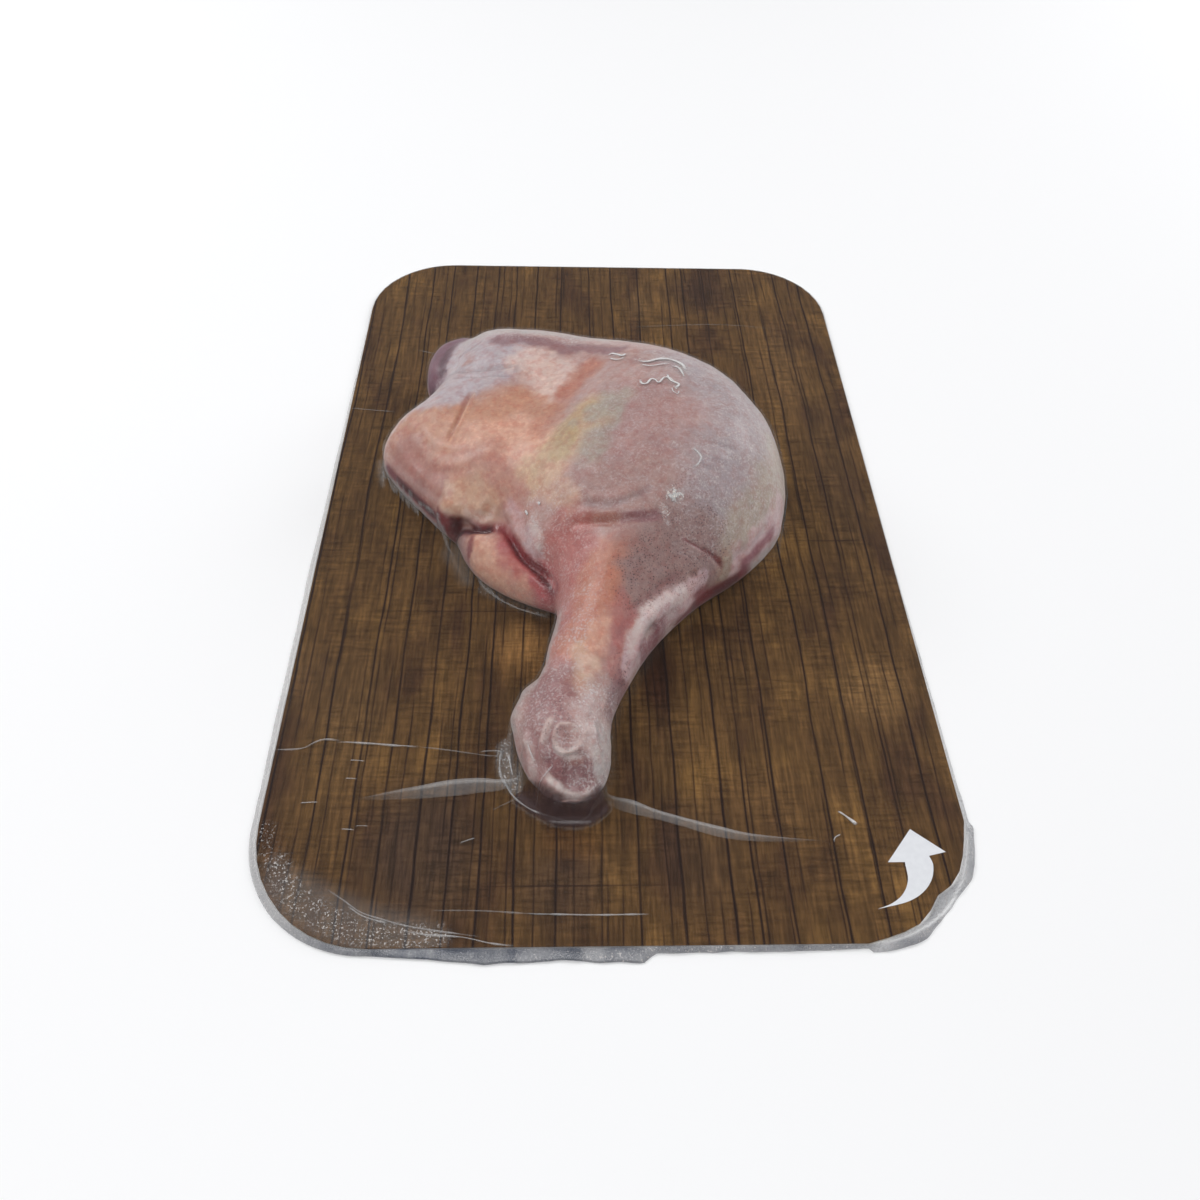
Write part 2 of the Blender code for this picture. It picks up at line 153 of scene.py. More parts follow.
def readNormals(mesh):
    flat = np.empty(len(mesh.vertices) * 3, np.float32)
    mesh.vertex_normals.foreach_get("vector", flat)
    return flat.reshape(-1, 3).astype(float)


def writePoints(mesh, points):
    mesh.vertices.foreach_set("co", points.astype(np.float32).ravel())
    mesh.update()


def writeAttribute(mesh, name, values):
    attribute = mesh.attributes.new(name, "FLOAT", "POINT")
    attribute.data.foreach_set("value", np.clip(values, 0, 1).astype(np.float32))


def writeColour(mesh, name, colours):
    attribute = mesh.color_attributes.new(name, "FLOAT_COLOR", "POINT")
    full = np.column_stack([np.clip(colours, 0, 1), np.ones(len(colours))])
    attribute.data.foreach_set("color", full.astype(np.float32).ravel())


def finishPiece(piece, slot, *nodes):
    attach(piece, "root")
    if nodes:
        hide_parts(*nodes)


# small helpers for materials

def addNode(tree, kind, inputs=None, **options):
    node = tree.nodes.new(kind)
    for name, value in options.items():
        setattr(node, name, value)
    for name, value in (inputs or {}).items():
        if isinstance(value, bpy.types.NodeSocket):
            tree.links.new(value, node.inputs[name])
        else:
            node.inputs[name].default_value = value
    return node


def mathNode(tree, operation, *values, clamp=False):
    inputs = dict(enumerate(values))
    return addNode(tree, "ShaderNodeMath", inputs, operation=operation, use_clamp=clamp).outputs[0]


def attributeNode(tree, name):
    return addNode(tree, "ShaderNodeAttribute", attribute_name=name).outputs["Fac"]


def rampTo(tree, value, low, high, least=0.0, most=1.0):
    inputs = {"Value": value, "From Min": low, "From Max": high, "To Min": least, "To Max": most}
    return addNode(tree, "ShaderNodeMapRange", inputs, interpolation_type="SMOOTHSTEP").outputs["Result"]


def mixColour(tree, factor, first, second, blend="MIX"):
    # sockets 0, 6 and 7 and output 2 are the ones for colours
    inputs = {0: factor, 6: first, 7: second}
    return addNode(tree, "ShaderNodeMix", inputs, data_type="RGBA", blend_type=blend).outputs[2]


def stretchedNoise(tree, vector, scale, detail=2.0, roughness=0.5):
    # noise whose grains are 1/scale metres long on each axis
    placed = addNode(tree, "ShaderNodeMapping", {"Vector": vector, "Scale": scale})
    noise = addNode(tree, "ShaderNodeTexNoise", {
        "Vector": placed.outputs["Vector"], "Scale": 1.0, "Detail": detail, "Roughness": roughness})
    return noise.outputs["Fac"]


def newGroup(name, inputs, outputs):
    group = bpy.data.node_groups.new(name, "ShaderNodeTree")
    for label, (kind, value) in inputs.items():
        socket = group.interface.new_socket(name=label, in_out="INPUT", socket_type=kind)
        if value is not None:
            socket.default_value = value
    for label, kind in outputs.items():
        group.interface.new_socket(name=label, in_out="OUTPUT", socket_type=kind)
    entry = group.nodes.new("NodeGroupInput").outputs
    result = group.nodes.new("NodeGroupOutput").inputs
    return group, entry, result


def useGroup(tree, group, inputs):
    return addNode(tree, "ShaderNodeGroup", inputs, node_tree=group).outputs


def newMaterial(name, **shaderValues):
    material = bpy.data.materials.new(name)
    material.use_nodes = True
    tree = material.node_tree
    shader = tree.nodes["Principled BSDF"]
    for label, value in shaderValues.items():
        shader.inputs[label.replace("_", " ")].default_value = value
    where = tree.nodes.new("ShaderNodeTexCoord").outputs["Object"]
    return material, tree, shader.inputs, where


def connectBump(tree, socket, height, distance, strength=1.0):
    bump = addNode(tree, "ShaderNodeBump", {"Height": height, "Distance": distance, "Strength": strength})
    tree.links.new(bump.outputs["Normal"], socket)


floatSocket, colourSocket, vectorSocket = "NodeSocketFloat", "NodeSocketColor", "NodeSocketVector"


# shared effects

def makeFrostGroup():
    # fine ice crystals: pale specks in two sizes over a colour
    tree, entry, result = newGroup(
        "frostSpecks",
        {"Vector": (vectorSocket, None), "Color": (colourSocket, (0.5, 0.5, 0.5, 1)),
         "Amount": (floatSocket, 0.5), "Frost Color": (colourSocket, (0.8, 0.8, 0.8, 1))},
        {"Color": colourSocket, "Height": floatSocket})
    fine = stretchedNoise(tree, entry["Vector"], (1500, 1500, 1500), 2.0, 0.7)
    patchy = stretchedNoise(tree, entry["Vector"], (260, 260, 260), 3.0)
    specks = rampTo(tree, fine, 0.48, 0.64)
    spread = rampTo(tree, patchy, 0.3, 0.7, 0.35, 1.0)
    veil = mathNode(tree, "MULTIPLY", entry["Amount"], spread)
    share = mathNode(tree, "MULTIPLY", mathNode(tree, "MULTIPLY_ADD", specks, 0.75, 0.2), veil, clamp=True)
    tree.links.new(mixColour(tree, share, entry["Color"], entry["Frost Color"]), result["Color"])
    tree.links.new(mathNode(tree, "MULTIPLY", specks, veil), result["Height"])
    return tree


def makeStippleGroup():
    # the dark dots where feathers grew
    tree, entry, result = newGroup(
        "featherDots",
        {"Vector": (vectorSocket, None), "Color": (colourSocket, (0.5, 0.5, 0.5, 1)),
         "Amount": (floatSocket, 0.0), "Dot Color": (colourSocket, (0.1, 0.05, 0.06, 1))},
        {"Color": colourSocket, "Height": floatSocket})
    dots = addNode(tree, "ShaderNodeTexVoronoi", {
        "Vector": entry["Vector"], "Scale": 1600, "Randomness": 1.0})
    patchy = stretchedNoise(tree, entry["Vector"], (420, 420, 420), 3.0, 0.6)
    dot = rampTo(tree, dots.outputs["Distance"], 0.12, 0.42, 1.0, 0.0)
    share = mathNode(tree, "MULTIPLY", dot, mathNode(
        tree, "MULTIPLY", entry["Amount"], rampTo(tree, patchy, 0.35, 0.62, 0.25, 1.0)), clamp=True)
    tree.links.new(mixColour(tree, share, entry["Color"], entry["Dot Color"]), result["Color"])
    tree.links.new(mathNode(tree, "MULTIPLY", share, -1.0), result["Height"])
    return tree


def makeSpotGroup():
    # a soft oval mask, 1 in the middle and 0 outside
    tree, entry, result = newGroup(
        "softSpot",
        {"Vector": (vectorSocket, None), "Centre": (vectorSocket, (0, 0, 0)),
         "Size": (vectorSocket, (0.01, 0.01, 0.01))},
        {"Mask": floatSocket})
    kind = "ShaderNodeVectorMath"
    away = addNode(tree, kind, {0: entry["Vector"], 1: entry["Centre"]}, operation="SUBTRACT")
    scaled = addNode(tree, kind, {0: away.outputs[0], 1: entry["Size"]}, operation="DIVIDE")
    length = addNode(tree, kind, {0: scaled.outputs[0]}, operation="LENGTH")
    tree.links.new(rampTo(tree, length.outputs["Value"], 0.25, 1.0, 1.0, 0.0), result["Mask"])
    return tree


def makeSeamGroup():
    # wavy dark lines between lengthwise slats, and a random shade for each slat
    tree, entry, result = newGroup(
        "slatSeams",
        {"Across": (floatSocket, 0.0), "Slat Width": (floatSocket, 0.008), "Line Share": (floatSocket, 0.05),
         "Unevenness": (floatSocket, 0.8)},
        {"Line": floatSocket, "Shade": floatSocket})
    scale = mathNode(tree, "DIVIDE", 1.0, entry["Slat Width"])
    across = mathNode(tree, "MULTIPLY", entry["Across"], scale)
    cells = {"W": across, "Scale": 1.0, "Randomness": entry["Unevenness"]}
    edge = addNode(tree, "ShaderNodeTexVoronoi", cells, voronoi_dimensions="1D", feature="DISTANCE_TO_EDGE")
    slat = addNode(tree, "ShaderNodeTexVoronoi", cells, voronoi_dimensions="1D")
    line = addNode(tree, "ShaderNodeMapRange", {
        "Value": edge.outputs["Distance"], "From Min": 0.0, "From Max": entry["Line Share"],
        "To Min": 1.0, "To Max": 0.0}, interpolation_type="SMOOTHSTEP")
    tree.links.new(line.outputs["Result"], result["Line"])
    shade = addNode(tree, "ShaderNodeSeparateColor", {"Color": slat.outputs["Color"]})
    tree.links.new(shade.outputs["Red"], result["Shade"])
    return tree


frostSpecks = makeFrostGroup()
featherDots = makeStippleGroup()
softSpot = makeSpotGroup()
slatSeams = makeSeamGroup()
print("shared effects built")


# the leg

# screen colours of the flesh, skin and fat, some also used for painted shade and painted highlights
tones = {
    "mauve": (170, 139, 133),
    "deepMauve": (146, 106, 104),
    "warmGrey": (152, 120, 112),
    "frostGrey": (146, 136, 141),
    "rimWhite": (170, 161, 158),
    "lilac": (172, 159, 163),
    "lilacPink": (186, 158, 160),
    "paleGreen": (164, 149, 130),
    "greenGrey": (150, 140, 128),
    "orange": (180, 130, 104),
    "peach": (200, 154, 126),
    "pinkPeach": (204, 156, 134),
    "pink": (168, 116, 104),
    "dullPink": (148, 104, 96),
    "salmon": (168, 104, 82),
    "paleSkin": (206, 180, 170),
    "fatYellow": (182, 152, 118),
    "fatOlive": (166, 140, 100),
    "bandMauve": (124, 84, 90),
    "brown": (146, 84, 64),
    "foldGrey": (146, 128, 130),
    "wine": (120, 54, 66),
    "neckOrange": (176, 112, 88),
    "neckPink": (166, 88, 82),
    "beige": (190, 154, 130),
    "lobePeach": (186, 140, 122),
    "lobeRed": (158, 66, 70),
    "meat": (110, 20, 30),
    "darkMeat": (62, 8, 16),
    "nubPurple": (66, 22, 42),
    "nubMauve": (100, 58, 78),
    "skinWhite": (200, 184, 178),
    "hollowRed": (124, 72, 74),
    "purple": (116, 78, 84),
    "dim": (52, 36, 36),
    "stippleGrey": (128, 98, 94),
}

# folds of the skin that are both carved and painted, in plan (mm)
folds = {
    "upper": [(-48.1, 39.5), (-41.2, 33.4), (-35.4, 31.9), (-29.8, 31.5), (-25.9, 31.8)],
    "middle": [(-45.9, 33.2), (-38.6, 29.2), (-31.9, 28.2), (-26.3, 27.4)],
    "short": [(-44.8, 45.5), (-40.3, 45), (-36.3, 47.2)],
    "thigh": [(-38.1, 22.3), (-39.4, 18.1), (-41.6, 10.3), (-44.4, 3.9)],
    "round": [(-52.5, 13), (-49, 7), (-43.4, 2), (-37.4, 0)],
    "hollow": [(-9, -23.6), (-1.6, -26.8), (3.3, -26.6), (8.3, -24.5), (10.4, -22.6)],
    "ankleRing": [(-8.2, -84.5), (-9.6, -83.2), (-11.3, -82.9), (-13.1, -83.4), (-13.7, -85.4),
                  (-13.2, -87.5), (-11, -88.4), (-8.7, -87.5), (-8.0, -85.6)],
}

legSettings = {
    "voxel": 0.62 * mm,
    "smoothing": 55,
    "warp": 2.1,               # how far the edges of the colour patches wander, in mm
    "lumps": ((9.0, 0.30), (3.6, 0.13), (1.5, 0.045)),    # size and height of random bumps, in mm
    "pathWander": (3.5, 0.25),                            # size and reach of small bends in the ridges
    "ankleFade": (25, 78),                                # how far down the shank the skin gets rough
    "ankleLumps": ((2.4, 0.12), (1.3, 0.16)),
    "ripples": {"grain": (0.16, 0.75, 0.3), "centre": (2, -20), "radius": 16, "height": 0.16},
    "castTints": ((5, 0.05), (2, 0.045), (1, 0.04)),      # size and strength of uneven light and warmth
    "warmTints": ((4, 0.03), (1.5, 0.02)),
    "leastFrost": 0.08,
    "coat": 0.22,
    "coatRoughness": 0.22,
    "roughness": 0.55,
    "wetGloss": -0.28,
    "dotTone": (62, 38, 46),
    "frostTone": (206, 194, 193),
    "redTint": (0.88, 0.66, 0.64, 1),
    "paleTint": (1.13, 1.16, 1.15, 1),
    "bump": (0.17 * mm, 0.7),                             # depth and strength
    # colour patches in painting order: tone, strength, full reach, soft edge and path in plan, and for
    # some the lowest and highest place that takes the colour (mm)
    "patches": [
        ("deepMauve", 0.55, 7, 10, [(8, 2), (6, -12), (0, -20)]),
        ("frostGrey", 0.75, 6, 15, [(28, 24), (36, 8), (38, -6), (30, -20)]),
        # pale rims: frost, and painted highlight where the film catches the light along the edges
        ("rimWhite", 0.45, 3, 7, [(30, 38), (41, 24), (47, 10), (49, -4)]),
        ("paleGreen", 0.7, 2.5, 5, [(30, -30.5), (35.6, -25), (41, -18.3), (45, -8), (46, 0)]),
        ("warmGrey", 0.5, 5, 6, [(-6, -22), (2, -24), (9, -22)]),
        ("stippleGrey", 0.75, 5, 6, [(4, -45), (11, -39), (20, -33)]),
        ("orange", 0.95, 7, 7, [(-53, 13), (-46, 9), (-38, 6), (-30, 8), (-24, 13)]),
        ("pinkPeach", 0.9, 4.5, 6, [(-32, 1), (-26, 3), (-22, 0), (-24, -8)]),
        ("fatOlive", 0.35, 3, 5, [(-41, -10.5), (-36, -12.5), (-30.5, -13.5)]),
        ("peach", 0.6, 2.5, 4, [(-42, -9), (-36, -11), (-30.5, -12.5)]),
        ("dullPink", 0.9, 3, 4.6, [(-57, 7), (-52, -1), (-47, -7)]),
        ("pink", 0.5, 2, 4.5, [(-56, 10), (-52.2, 4.5), (-46, -1.6), (-38, -4.5), (-31, -2)]),
        ("pink", 0.7, 2.2, 4, [(-29, -8), (-26.5, -13), (-24.5, -19)]),
        ("rimWhite", 0.8, 1.6, 3.2, [(-65, 15), (-61, 18), (-57, 22), (-53, 27), (-49, 33)]),
        ("lilac", 0.96, 6.0, 3.6, [(-43, 50), (-39, 50), (-34, 45), (-31, 37), (-36, 30), (-44, 25),
                                   (-50, 24)]),
        ("lilac", 0.9, 3.2, 2.0, [(-45, 46.5), (-40.6, 46.4), (-35.6, 41.6), (-31, 36.4), (-37, 33.4)]),
        ("lilac", 0.9, 2.5, 3.0, [(-47, 44), (-45.4, 38), (-44, 33)]),
        ("lilac", 0.85, 1.6, 3.2, [(-56, 24), (-50, 24.5), (-43, 23), (-38, 25), (-31, 30)]),
        ("paleSkin", 0.8, 4, 5, [(-22, 34), (-16, 28), (-14, 22)]),
        ("bandMauve", 0.8, 1.5, 2.8, [(-31.5, 45.4), (-25.3, 44), (-19.1, 41.8), (-13.5, 41), (-7, 38),
                                      (2, 33.5)]),
        ("rimWhite", 0.85, 1.6, 2.4, [(-40, 54), (-30, 51.5), (-20, 50), (-10, 48.5), (0, 45.5), (12, 42)]),
        ("salmon", 0.8, 1.2, 4.2, [(-4.6, 27.4), (-7.4, 23.6), (-10.8, 18.2)]),
        ("salmon", 0.45, 1.0, 3.4, [(-10.4, 18.6), (-14.4, 11.4), (-19, 4)]),
        ("greenGrey", 0.8, 2.4, 4, [(-0.4, 8), (-1.4, 0), (-3.2, -7), (-5.4, -11)]),
        ("fatYellow", 0.6, 2.0, 8, [(-5, 5), (-11, -3), (-16, -10)]),
        ("fatYellow", 0.5, 1.2, 6, [(-7.2, 4.6), (-5.4, 0.6), (-8.6, -2.4)]),
        ("fatYellow", 0.6, 1.2, 5, [(-12.2, 0.4), (-14.4, -4.4), (-12.4, -8.6)]),
        ("fatYellow", 0.6, 1.2, 4, [(-19.4, -9.6), (-17.2, -14.2)]),
        ("fatOlive", 0.5, 1.2, 5.0, [(-6.5, 4), (-10.5, 0), (-13, -3.4)]),
        ("fatOlive", 0.7, 0.6, 3.0, [(-9.6, -0.6), (-10.6, -5.2), (-13.2, -8.2), (-13.8, -12.6)]),
        ("greenGrey", 0.75, 1.6, 3.6, [(-2.6, 2.4), (0.6, 3.6), (3.8, 6.2)]),
        ("greenGrey", 0.5, 0.4, 2.2, [(-10.2, 1.8), (-8.2, -1.6)]),
        ("beige", 0.6, 1.6, 3.0, [(-16, -15.5), (-12.5, -20), (-10, -23)]),
        ("brown", 0.75, 0.5, 1.5, [(-10.7, -27.3), (-7.3, -29), (-3.3, -30), (2.4, -31.1)]),
        ("wine", 0.65, 0.5, 1.3, [(1.5, -31.1), (6.5, -30.9), (12.5, -30)]),
        ("foldGrey", 0.45, 0.4, 1.2, folds["hollow"]),
        ("neckPink", 0.8, 3.0, 6.6, [(-12, -31), (-10.5, -38), (-9.4, -46), (-9.4, -55), (-10.4, -60)]),
        ("dullPink", 0.6, 1.6, 3.4, [(1.6, -35), (0, -39.4), (-1.4, -42.6)]),
        ("neckOrange", 0.9, 2.4, 5.0, [(-2.4, -41), (-3.6, -47), (-5.6, -53), (-8.9, -60.4)]),
        ("neckPink", 0.5, 1.5, 3, [(2.5, -52), (1.5, -60), (0.5, -66)]),
        ("beige", 0.9, 1.6, 3.6, [(-7.4, -64), (-7.8, -67.4), (-9.3, -72)]),
        ("pinkPeach", 0.75, 0.8, 3.0, [(-1.8, -54.6), (-3.0, -59), (-4.8, -64)]),
        ("deepMauve", 0.8, 3.0, 4.5, [(-17, -70), (-15, -75), (-9, -78.5)]),
        ("paleSkin", 0.4, 0.8, 3.0, [(-6.4, -64), (-7.2, -66.4), (-8.0, -69)]),
        ("neckPink", 0.5, 0.6, 2.6, [(3.0, -53), (1.8, -57.7), (0.8, -62)]),
        ("hollowRed", 0.65, 3.6, 4.5, [(-15, -70), (-14.5, -74), (-16, -80), (-16, -87)]),
        ("rimWhite", 0.7, 1.0, 2.6, [(-15.8, -50), (-17.2, -59), (-20.4, -67.5), (-24, -72), (-25, -78)]),
        ("purple", 0.7, 0.5, 2.0, [(2.4, -64), (1.4, -67.8), (0.4, -70.3), (-0.6, -73.9), (-1.4, -77)]),
        # the loose flap of skin and the meat under the rim
        ("meat", 0.96, 3.2, 1.2, [(36.5, -31.5), (31.5, -34.2), (25, -39), (19, -44)], -1, 8.5),
        ("lilacPink", 0.95, 1.8, 1.0, [(24, -39.4), (18.4, -43.8), (13.4, -48.4), (10.0, -52), (7.4, -56),
                                       (5.6, -60.4), (4.0, -65)], 10, 30),
        ("skinWhite", 0.6, 0.6, 1.4, [(20.6, -40.8), (17, -44), (12.4, -47.8), (8.6, -51.4), (5.8, -56),
                                      (3.8, -61)]),
        # painted shade: a faint wine line along the shadow beside the flap's fold
        ("wine", 0.25, 0.3, 1.2, [(18, -39.4), (13, -43.4), (8.4, -48.4), (4.6, -52.2), (2.6, -56.2),
                                  (1.2, -60)]),
        # painted shade: the dark shadow in the flap's fold, in wine, running down the wall
        ("wine", 0.8, 0.3, 1.0, [(13.4, -49.2), (11.0, -51.6), (9.2, -54.2), (8.0, -57.0),
                                 (6.6, -60)], -1, 16),
        ("lilacPink", 0.9, 1.5, 1.6, [(47, -13), (45.4, -17.8), (42.5, -22.5), (38.6, -27.3), (34, -31)]),
        ("meat", 0.96, 2.4, 1.5, [(35.6, -29.6), (30, -34), (25, -38), (20.8, -41.8),
                                  (17.6, -44.8)], -1, 10.6),
        ("darkMeat", 0.6, 1.6, 1.5, [(33, -31.4), (28, -35.6), (22.6, -40.2)], 3, 10.2),
        ("wine", 0.85, 0.4, 0.9, [(34.6, -30.8), (37, -28.6), (40.2, -25), (42.9, -21.6),
                                  (44.1, -19.4)], 9, 16),
        # painted highlight: a pale line along the lower right rim, where the film catches the light
        ("rimWhite", 0.8, 0.7, 1.1, [(37, -29.8), (40.6, -26.2), (44.2, -21.8), (46, -18.8),
                                     (46.8, -14)], 6.5, 12),
        # the small lobe beneath, the gap above it and the ridge beside it
        ("lobePeach", 0.95, 5.5, 5, [(-34, -24), (-30.5, -29.5), (-26, -33.5)], -1, 14.2),
        ("peach", 0.35, 1.6, 3.6, [(-35, -22), (-33.4, -26.5), (-29.6, -30.6)], 6, 14),
        ("lobeRed", 0.9, 1.2, 4.6, [(-27.2, -22.6), (-25.4, -25.4), (-23.6, -28.2), (-20.6, -31.2),
                                    (-18, -33.4), (-15.6, -36.4)], -1, 14.8),
        # painted shade: purple low on the lobe's wall, under the film
        ("purple", 0.85, 0.5, 1.0, [(-35.4, -27.4), (-33.6, -29.8), (-29.6, -32.8), (-25.4, -35.2),
                                    (-20, -37.6), (-14.6, -39.8)], -1, 2.6),
        ("beige", 0.55, 0.8, 5.6, [(-44.5, -8.6), (-40.7, -11.6), (-37.2, -13.4), (-33.6, -14.4)]),
        ("lilac", 0.55, 1.6, 1.6, [(-64.4, 10), (-60.4, 3.6), (-55.4, -2.8), (-50.4, -8.8),
                                   (-46, -13.8)], -1, 7.4),
        # painted shade: a dark wine and dark meat line along the thigh's lower edge, where its wall falls
        # into shadow under the film
        ("wine", 0.95, 1.4, 1.6, [(-61.8, 7.2), (-60, 4.7), (-57.2, 0.9), (-54.4, -2.6), (-51.6, -6.0),
                                  (-48.8, -9.3), (-46, -13.0), (-43.4, -14.8)], 7.8, 11.4),
        ("darkMeat", 0.95, 0.9, 1.3, [(-59.8, 4.4), (-57.2, 0.9), (-54.4, -2.6), (-51.6, -6.0),
                                      (-48.8, -9.3), (-46, -13.0), (-43.4, -14.8)], 8.6, 10.8),
        ("meat", 0.96, 1.0, 1.3, [(-46, -13), (-43.4, -14.9), (-41.2, -14.8), (-39, -15.6), (-36.8, -17.2),
                                  (-34.6, -18.3), (-32.2, -18.6), (-29.9, -18.8),
                                  (-28.3, -19.3)], -1, 14),
        # dark meat at the bottom of the gap above the lobe, deepened with painted shade
        ("darkMeat", 0.85, 0.4, 1.0, [(-43.4, -15), (-41.2, -15), (-39, -15.9), (-36.8, -17.5),
                                      (-34.6, -18.6), (-32.2, -18.9), (-29.9, -19)], -1, 14),
        ("meat", 0.95, 0.4, 1.4, [(-28.4, -18.8), (-26.6, -22), (-25.2, -24.7), (-23.6, -27.6),
                                  (-21.7, -29.7), (-20, -31.2), (-18, -32.8), (-15.9, -35), (-14.5, -38),
                                  (-13.7, -41.4)], -1, 15.6),
        # dark meat along the lower part of the gap, deepened with painted shade
        ("darkMeat", 0.85, 0.1, 0.7, [(-26.6, -22.2), (-25.2, -24.9), (-23.6, -27.8), (-21.7, -29.9),
                                      (-20, -31.4), (-18, -33), (-15.9, -35.2), (-14.4, -38.2)], -1, 15),
        # painted shade: darker purple on the lobe's left end, beside the gap
        ("purple", 0.6, 1.0, 1.6, [(-40, -18), (-39.2, -22), (-38.2, -26)], -1, 12.5),
        ("meat", 0.85, 0.35, 1.0, [(-36.2, -19.4), (-37.2, -22), (-37.0, -24.2)], -1, 12.5),
        ("paleSkin", 0.5, 0.3, 1.2, [(-39.4, -14), (-36.4, -15.6), (-33, -16), (-30.4, -15)]),
        ("lilacPink", 0.6, 0.8, 1.3, [(-27.4, -14.5), (-24.4, -20.4), (-21.2, -26), (-17.4, -31.4)]),
        ("skinWhite", 0.5, 0.4, 1.1, [(-20.3, -22.6), (-19.2, -26), (-17.2, -29.2)]),
        ("meat", 0.8, 0.1, 0.5, [(17, -32.9), (19.9, -33.2), (23.2, -33.4), (26.3, -33.5), (29.4, -33.2)]),
        ("meat", 0.8, 0.3, 0.9, [(20, -41.4), (22.8, -39.3), (26.8, -36.9), (31, -34.4)], -1, 13.5),
        # the end of the thigh bone
        ("nubMauve", 0.92, 3.2, 2.4, [(-50.5, 38), (-52.4, 44.5), (-52, 51), (-49, 57),
                                      (-43, 61.5)], -1, 18.5),
        ("nubPurple", 0.85, 0.7, 1.5, [(-48.2, 39.8), (-49.2, 44), (-48.6, 50), (-46, 55)], -1, 18),
        ("lilac", 0.25, 0.4, 1.0, [(-55.2, 42), (-55.2, 50), (-52, 57), (-47, 61.8), (-40, 64)], -1, 17),
        # creases of the thigh skin
        ("brown", 0.5, 0.35, 0.9, folds["thigh"]),
        ("peach", 0.5, 0.25, 0.6, [(-37.2, 21.3), (-38.5, 17.4), (-40.7, 9.7), (-43.6, 3.2)]),
        ("foldGrey", 0.6, 0.25, 0.7, folds["upper"]),
        ("foldGrey", 0.45, 0.2, 0.6, folds["middle"]),
        ("foldGrey", 0.5, 0.2, 0.6, folds["short"]),
        ("foldGrey", 0.5, 0.25, 0.6, [(-25.9, 31.8), (-26.2, 28.8)]),
        ("paleSkin", 0.22, 0.5, 1.6, [(-54.5, 12), (-50.5, 5.4), (-44.6, -0.4), (-37, -2.6), (-30, 0.4)]),
        ("paleSkin", 0.15, 0.3, 1.2, folds["round"]),
        # darker red round the film's scribbled creases on the leg: painted shade beside their painted
        # highlights
        ("hollowRed", 0.35, 0.8, 1.8, [(5, 27.6), (12, 23.2), (18, 21.4), (20.6, 17.6)]),
        ("hollowRed", 0.3, 0.6, 1.6, [(8, 12.6), (12.4, 12.2), (17, 11)]),
        # the knuckle
        ("skinWhite", 0.3, 2.2, 3, [(-6.5, -79), (-3.4, -84), (-2, -89)]),
        ("rimWhite", 0.8, 1.3, 2.2, [(-1.4, -80), (-1.6, -84), (-2.4, -88), (-3.4, -91)]),
        ("hollowRed", 0.9, 2.2, 1.6, [(-12.8, -90.6), (-9.6, -91.6), (-6.4, -91.6)]),
        ("skinWhite", 0.6, 0.2, 0.6, folds["ankleRing"]),
        ("skinWhite", 0.7, 0.3, 0.6, [(-13.5, -86.6), (-12.6, -88), (-11, -88.6), (-8.9, -87.9)]),
        ("skinWhite", 0.7, 0.4, 0.8, [(-14.2, -80.8), (-15.7, -83.6), (-16.6, -86.4)]),
        ("brown", 0.5, 0.3, 0.6, [(-11, -89.2), (-8.9, -89.1), (-7, -88.8)]),
        # painted shade: a dark patch low on the bone end, in the pocket under the film
        ("dim", 0.9, 2.6, 1.4, [(-20, -91.5), (-15, -96), (-9, -97.4), (-3, -95.4)], -1, 7.4),
        ("foldGrey", 0.5, 0.6, 1.2, [(-21, -89), (-17.6, -92.6), (-13, -95), (-7, -95.6)], 5, 9),
        ("skinWhite", 0.95, 0.35, 0.6, [(-16, -91.2), (-14.8, -92.5), (-13.7, -93.2), (-12.4, -94.1),
                                        (-11, -94.6), (-9.3, -95), (-7.5, -94.8), (-5.9, -94.2),
                                        (-4.4, -93.1)], 8.6, 20),
        ("skinWhite", 0.5, 0.4, 0.9, [(-20.6, -82), (-19.4, -86.8), (-18.8, -91)]),
    ],
    # ridges and creases: height, half width, path in plan (mm)
    "relief": [
        (-0.55, 0.7, folds["upper"]),
        (-0.4, 0.6, folds["middle"]),
        (-0.35, 0.6, folds["short"]),
        (0.35, 0.9, [(-43.5, 43.2), (-39.5, 42.8), (-35.3, 45.2)]),
        (-0.65, 0.8, folds["thigh"]),
        (0.45, 0.7, [(-37.0, 21.3), (-38.3, 17.4), (-40.5, 9.7), (-43.4, 3.2)]),
        (-0.4, 2.6, [(-2.8, 30.3), (-7.8, 23.1), (-12.7, 14.6), (-16, 9)]),
        (-0.7, 1.0, [(-12, -27), (-7.3, -29), (-3.3, -30), (2.4, -31.1), (6.5, -30.9), (13, -29.8)]),
        (0.4, 1.1, [(-10, -25.6), (-5, -27.6), (1, -28.9), (7, -28.8), (12, -27.4)]),
        (-0.5, 0.8, folds["hollow"]),
        (0.3, 0.9, [(-7, -22.5), (-1, -24.6), (3.5, -24.4), (8, -22.4)]),
        (-0.35, 0.7, [(-6.4, -20.8), (-1.7, -22.4), (3, -21.6)]),
        (0.14, 1.2, [(-55.2, 11), (-51.2, 4.6), (-45, -1.2), (-37.3, -3.5), (-30, -0.6)]),
        (-0.16, 1.1, [(-56.4, 8.4), (-52.6, 2.6), (-46.2, -3.2), (-38, -5.8), (-31, -3.6)]),
        (0.15, 0.7, folds["round"]),
        (0.8, 1.3, [(-27.6, -14), (-24.4, -20.4), (-21.2, -26), (-17.4, -31.4)]),
        (-1.7, 1.0, [(-45.4, -13.8), (-41.2, -15), (-39, -16), (-36.8, -17.8), (-33.1, -19), (-29.9, -19)]),
        (-1.9, 0.9, [(-29.2, -18.6), (-26.6, -22.2), (-25.2, -25), (-23.6, -28), (-21.7, -30.1),
                     (-20, -31.6), (-18, -33.4), (-15.9, -35.6), (-14.2, -38.8)]),
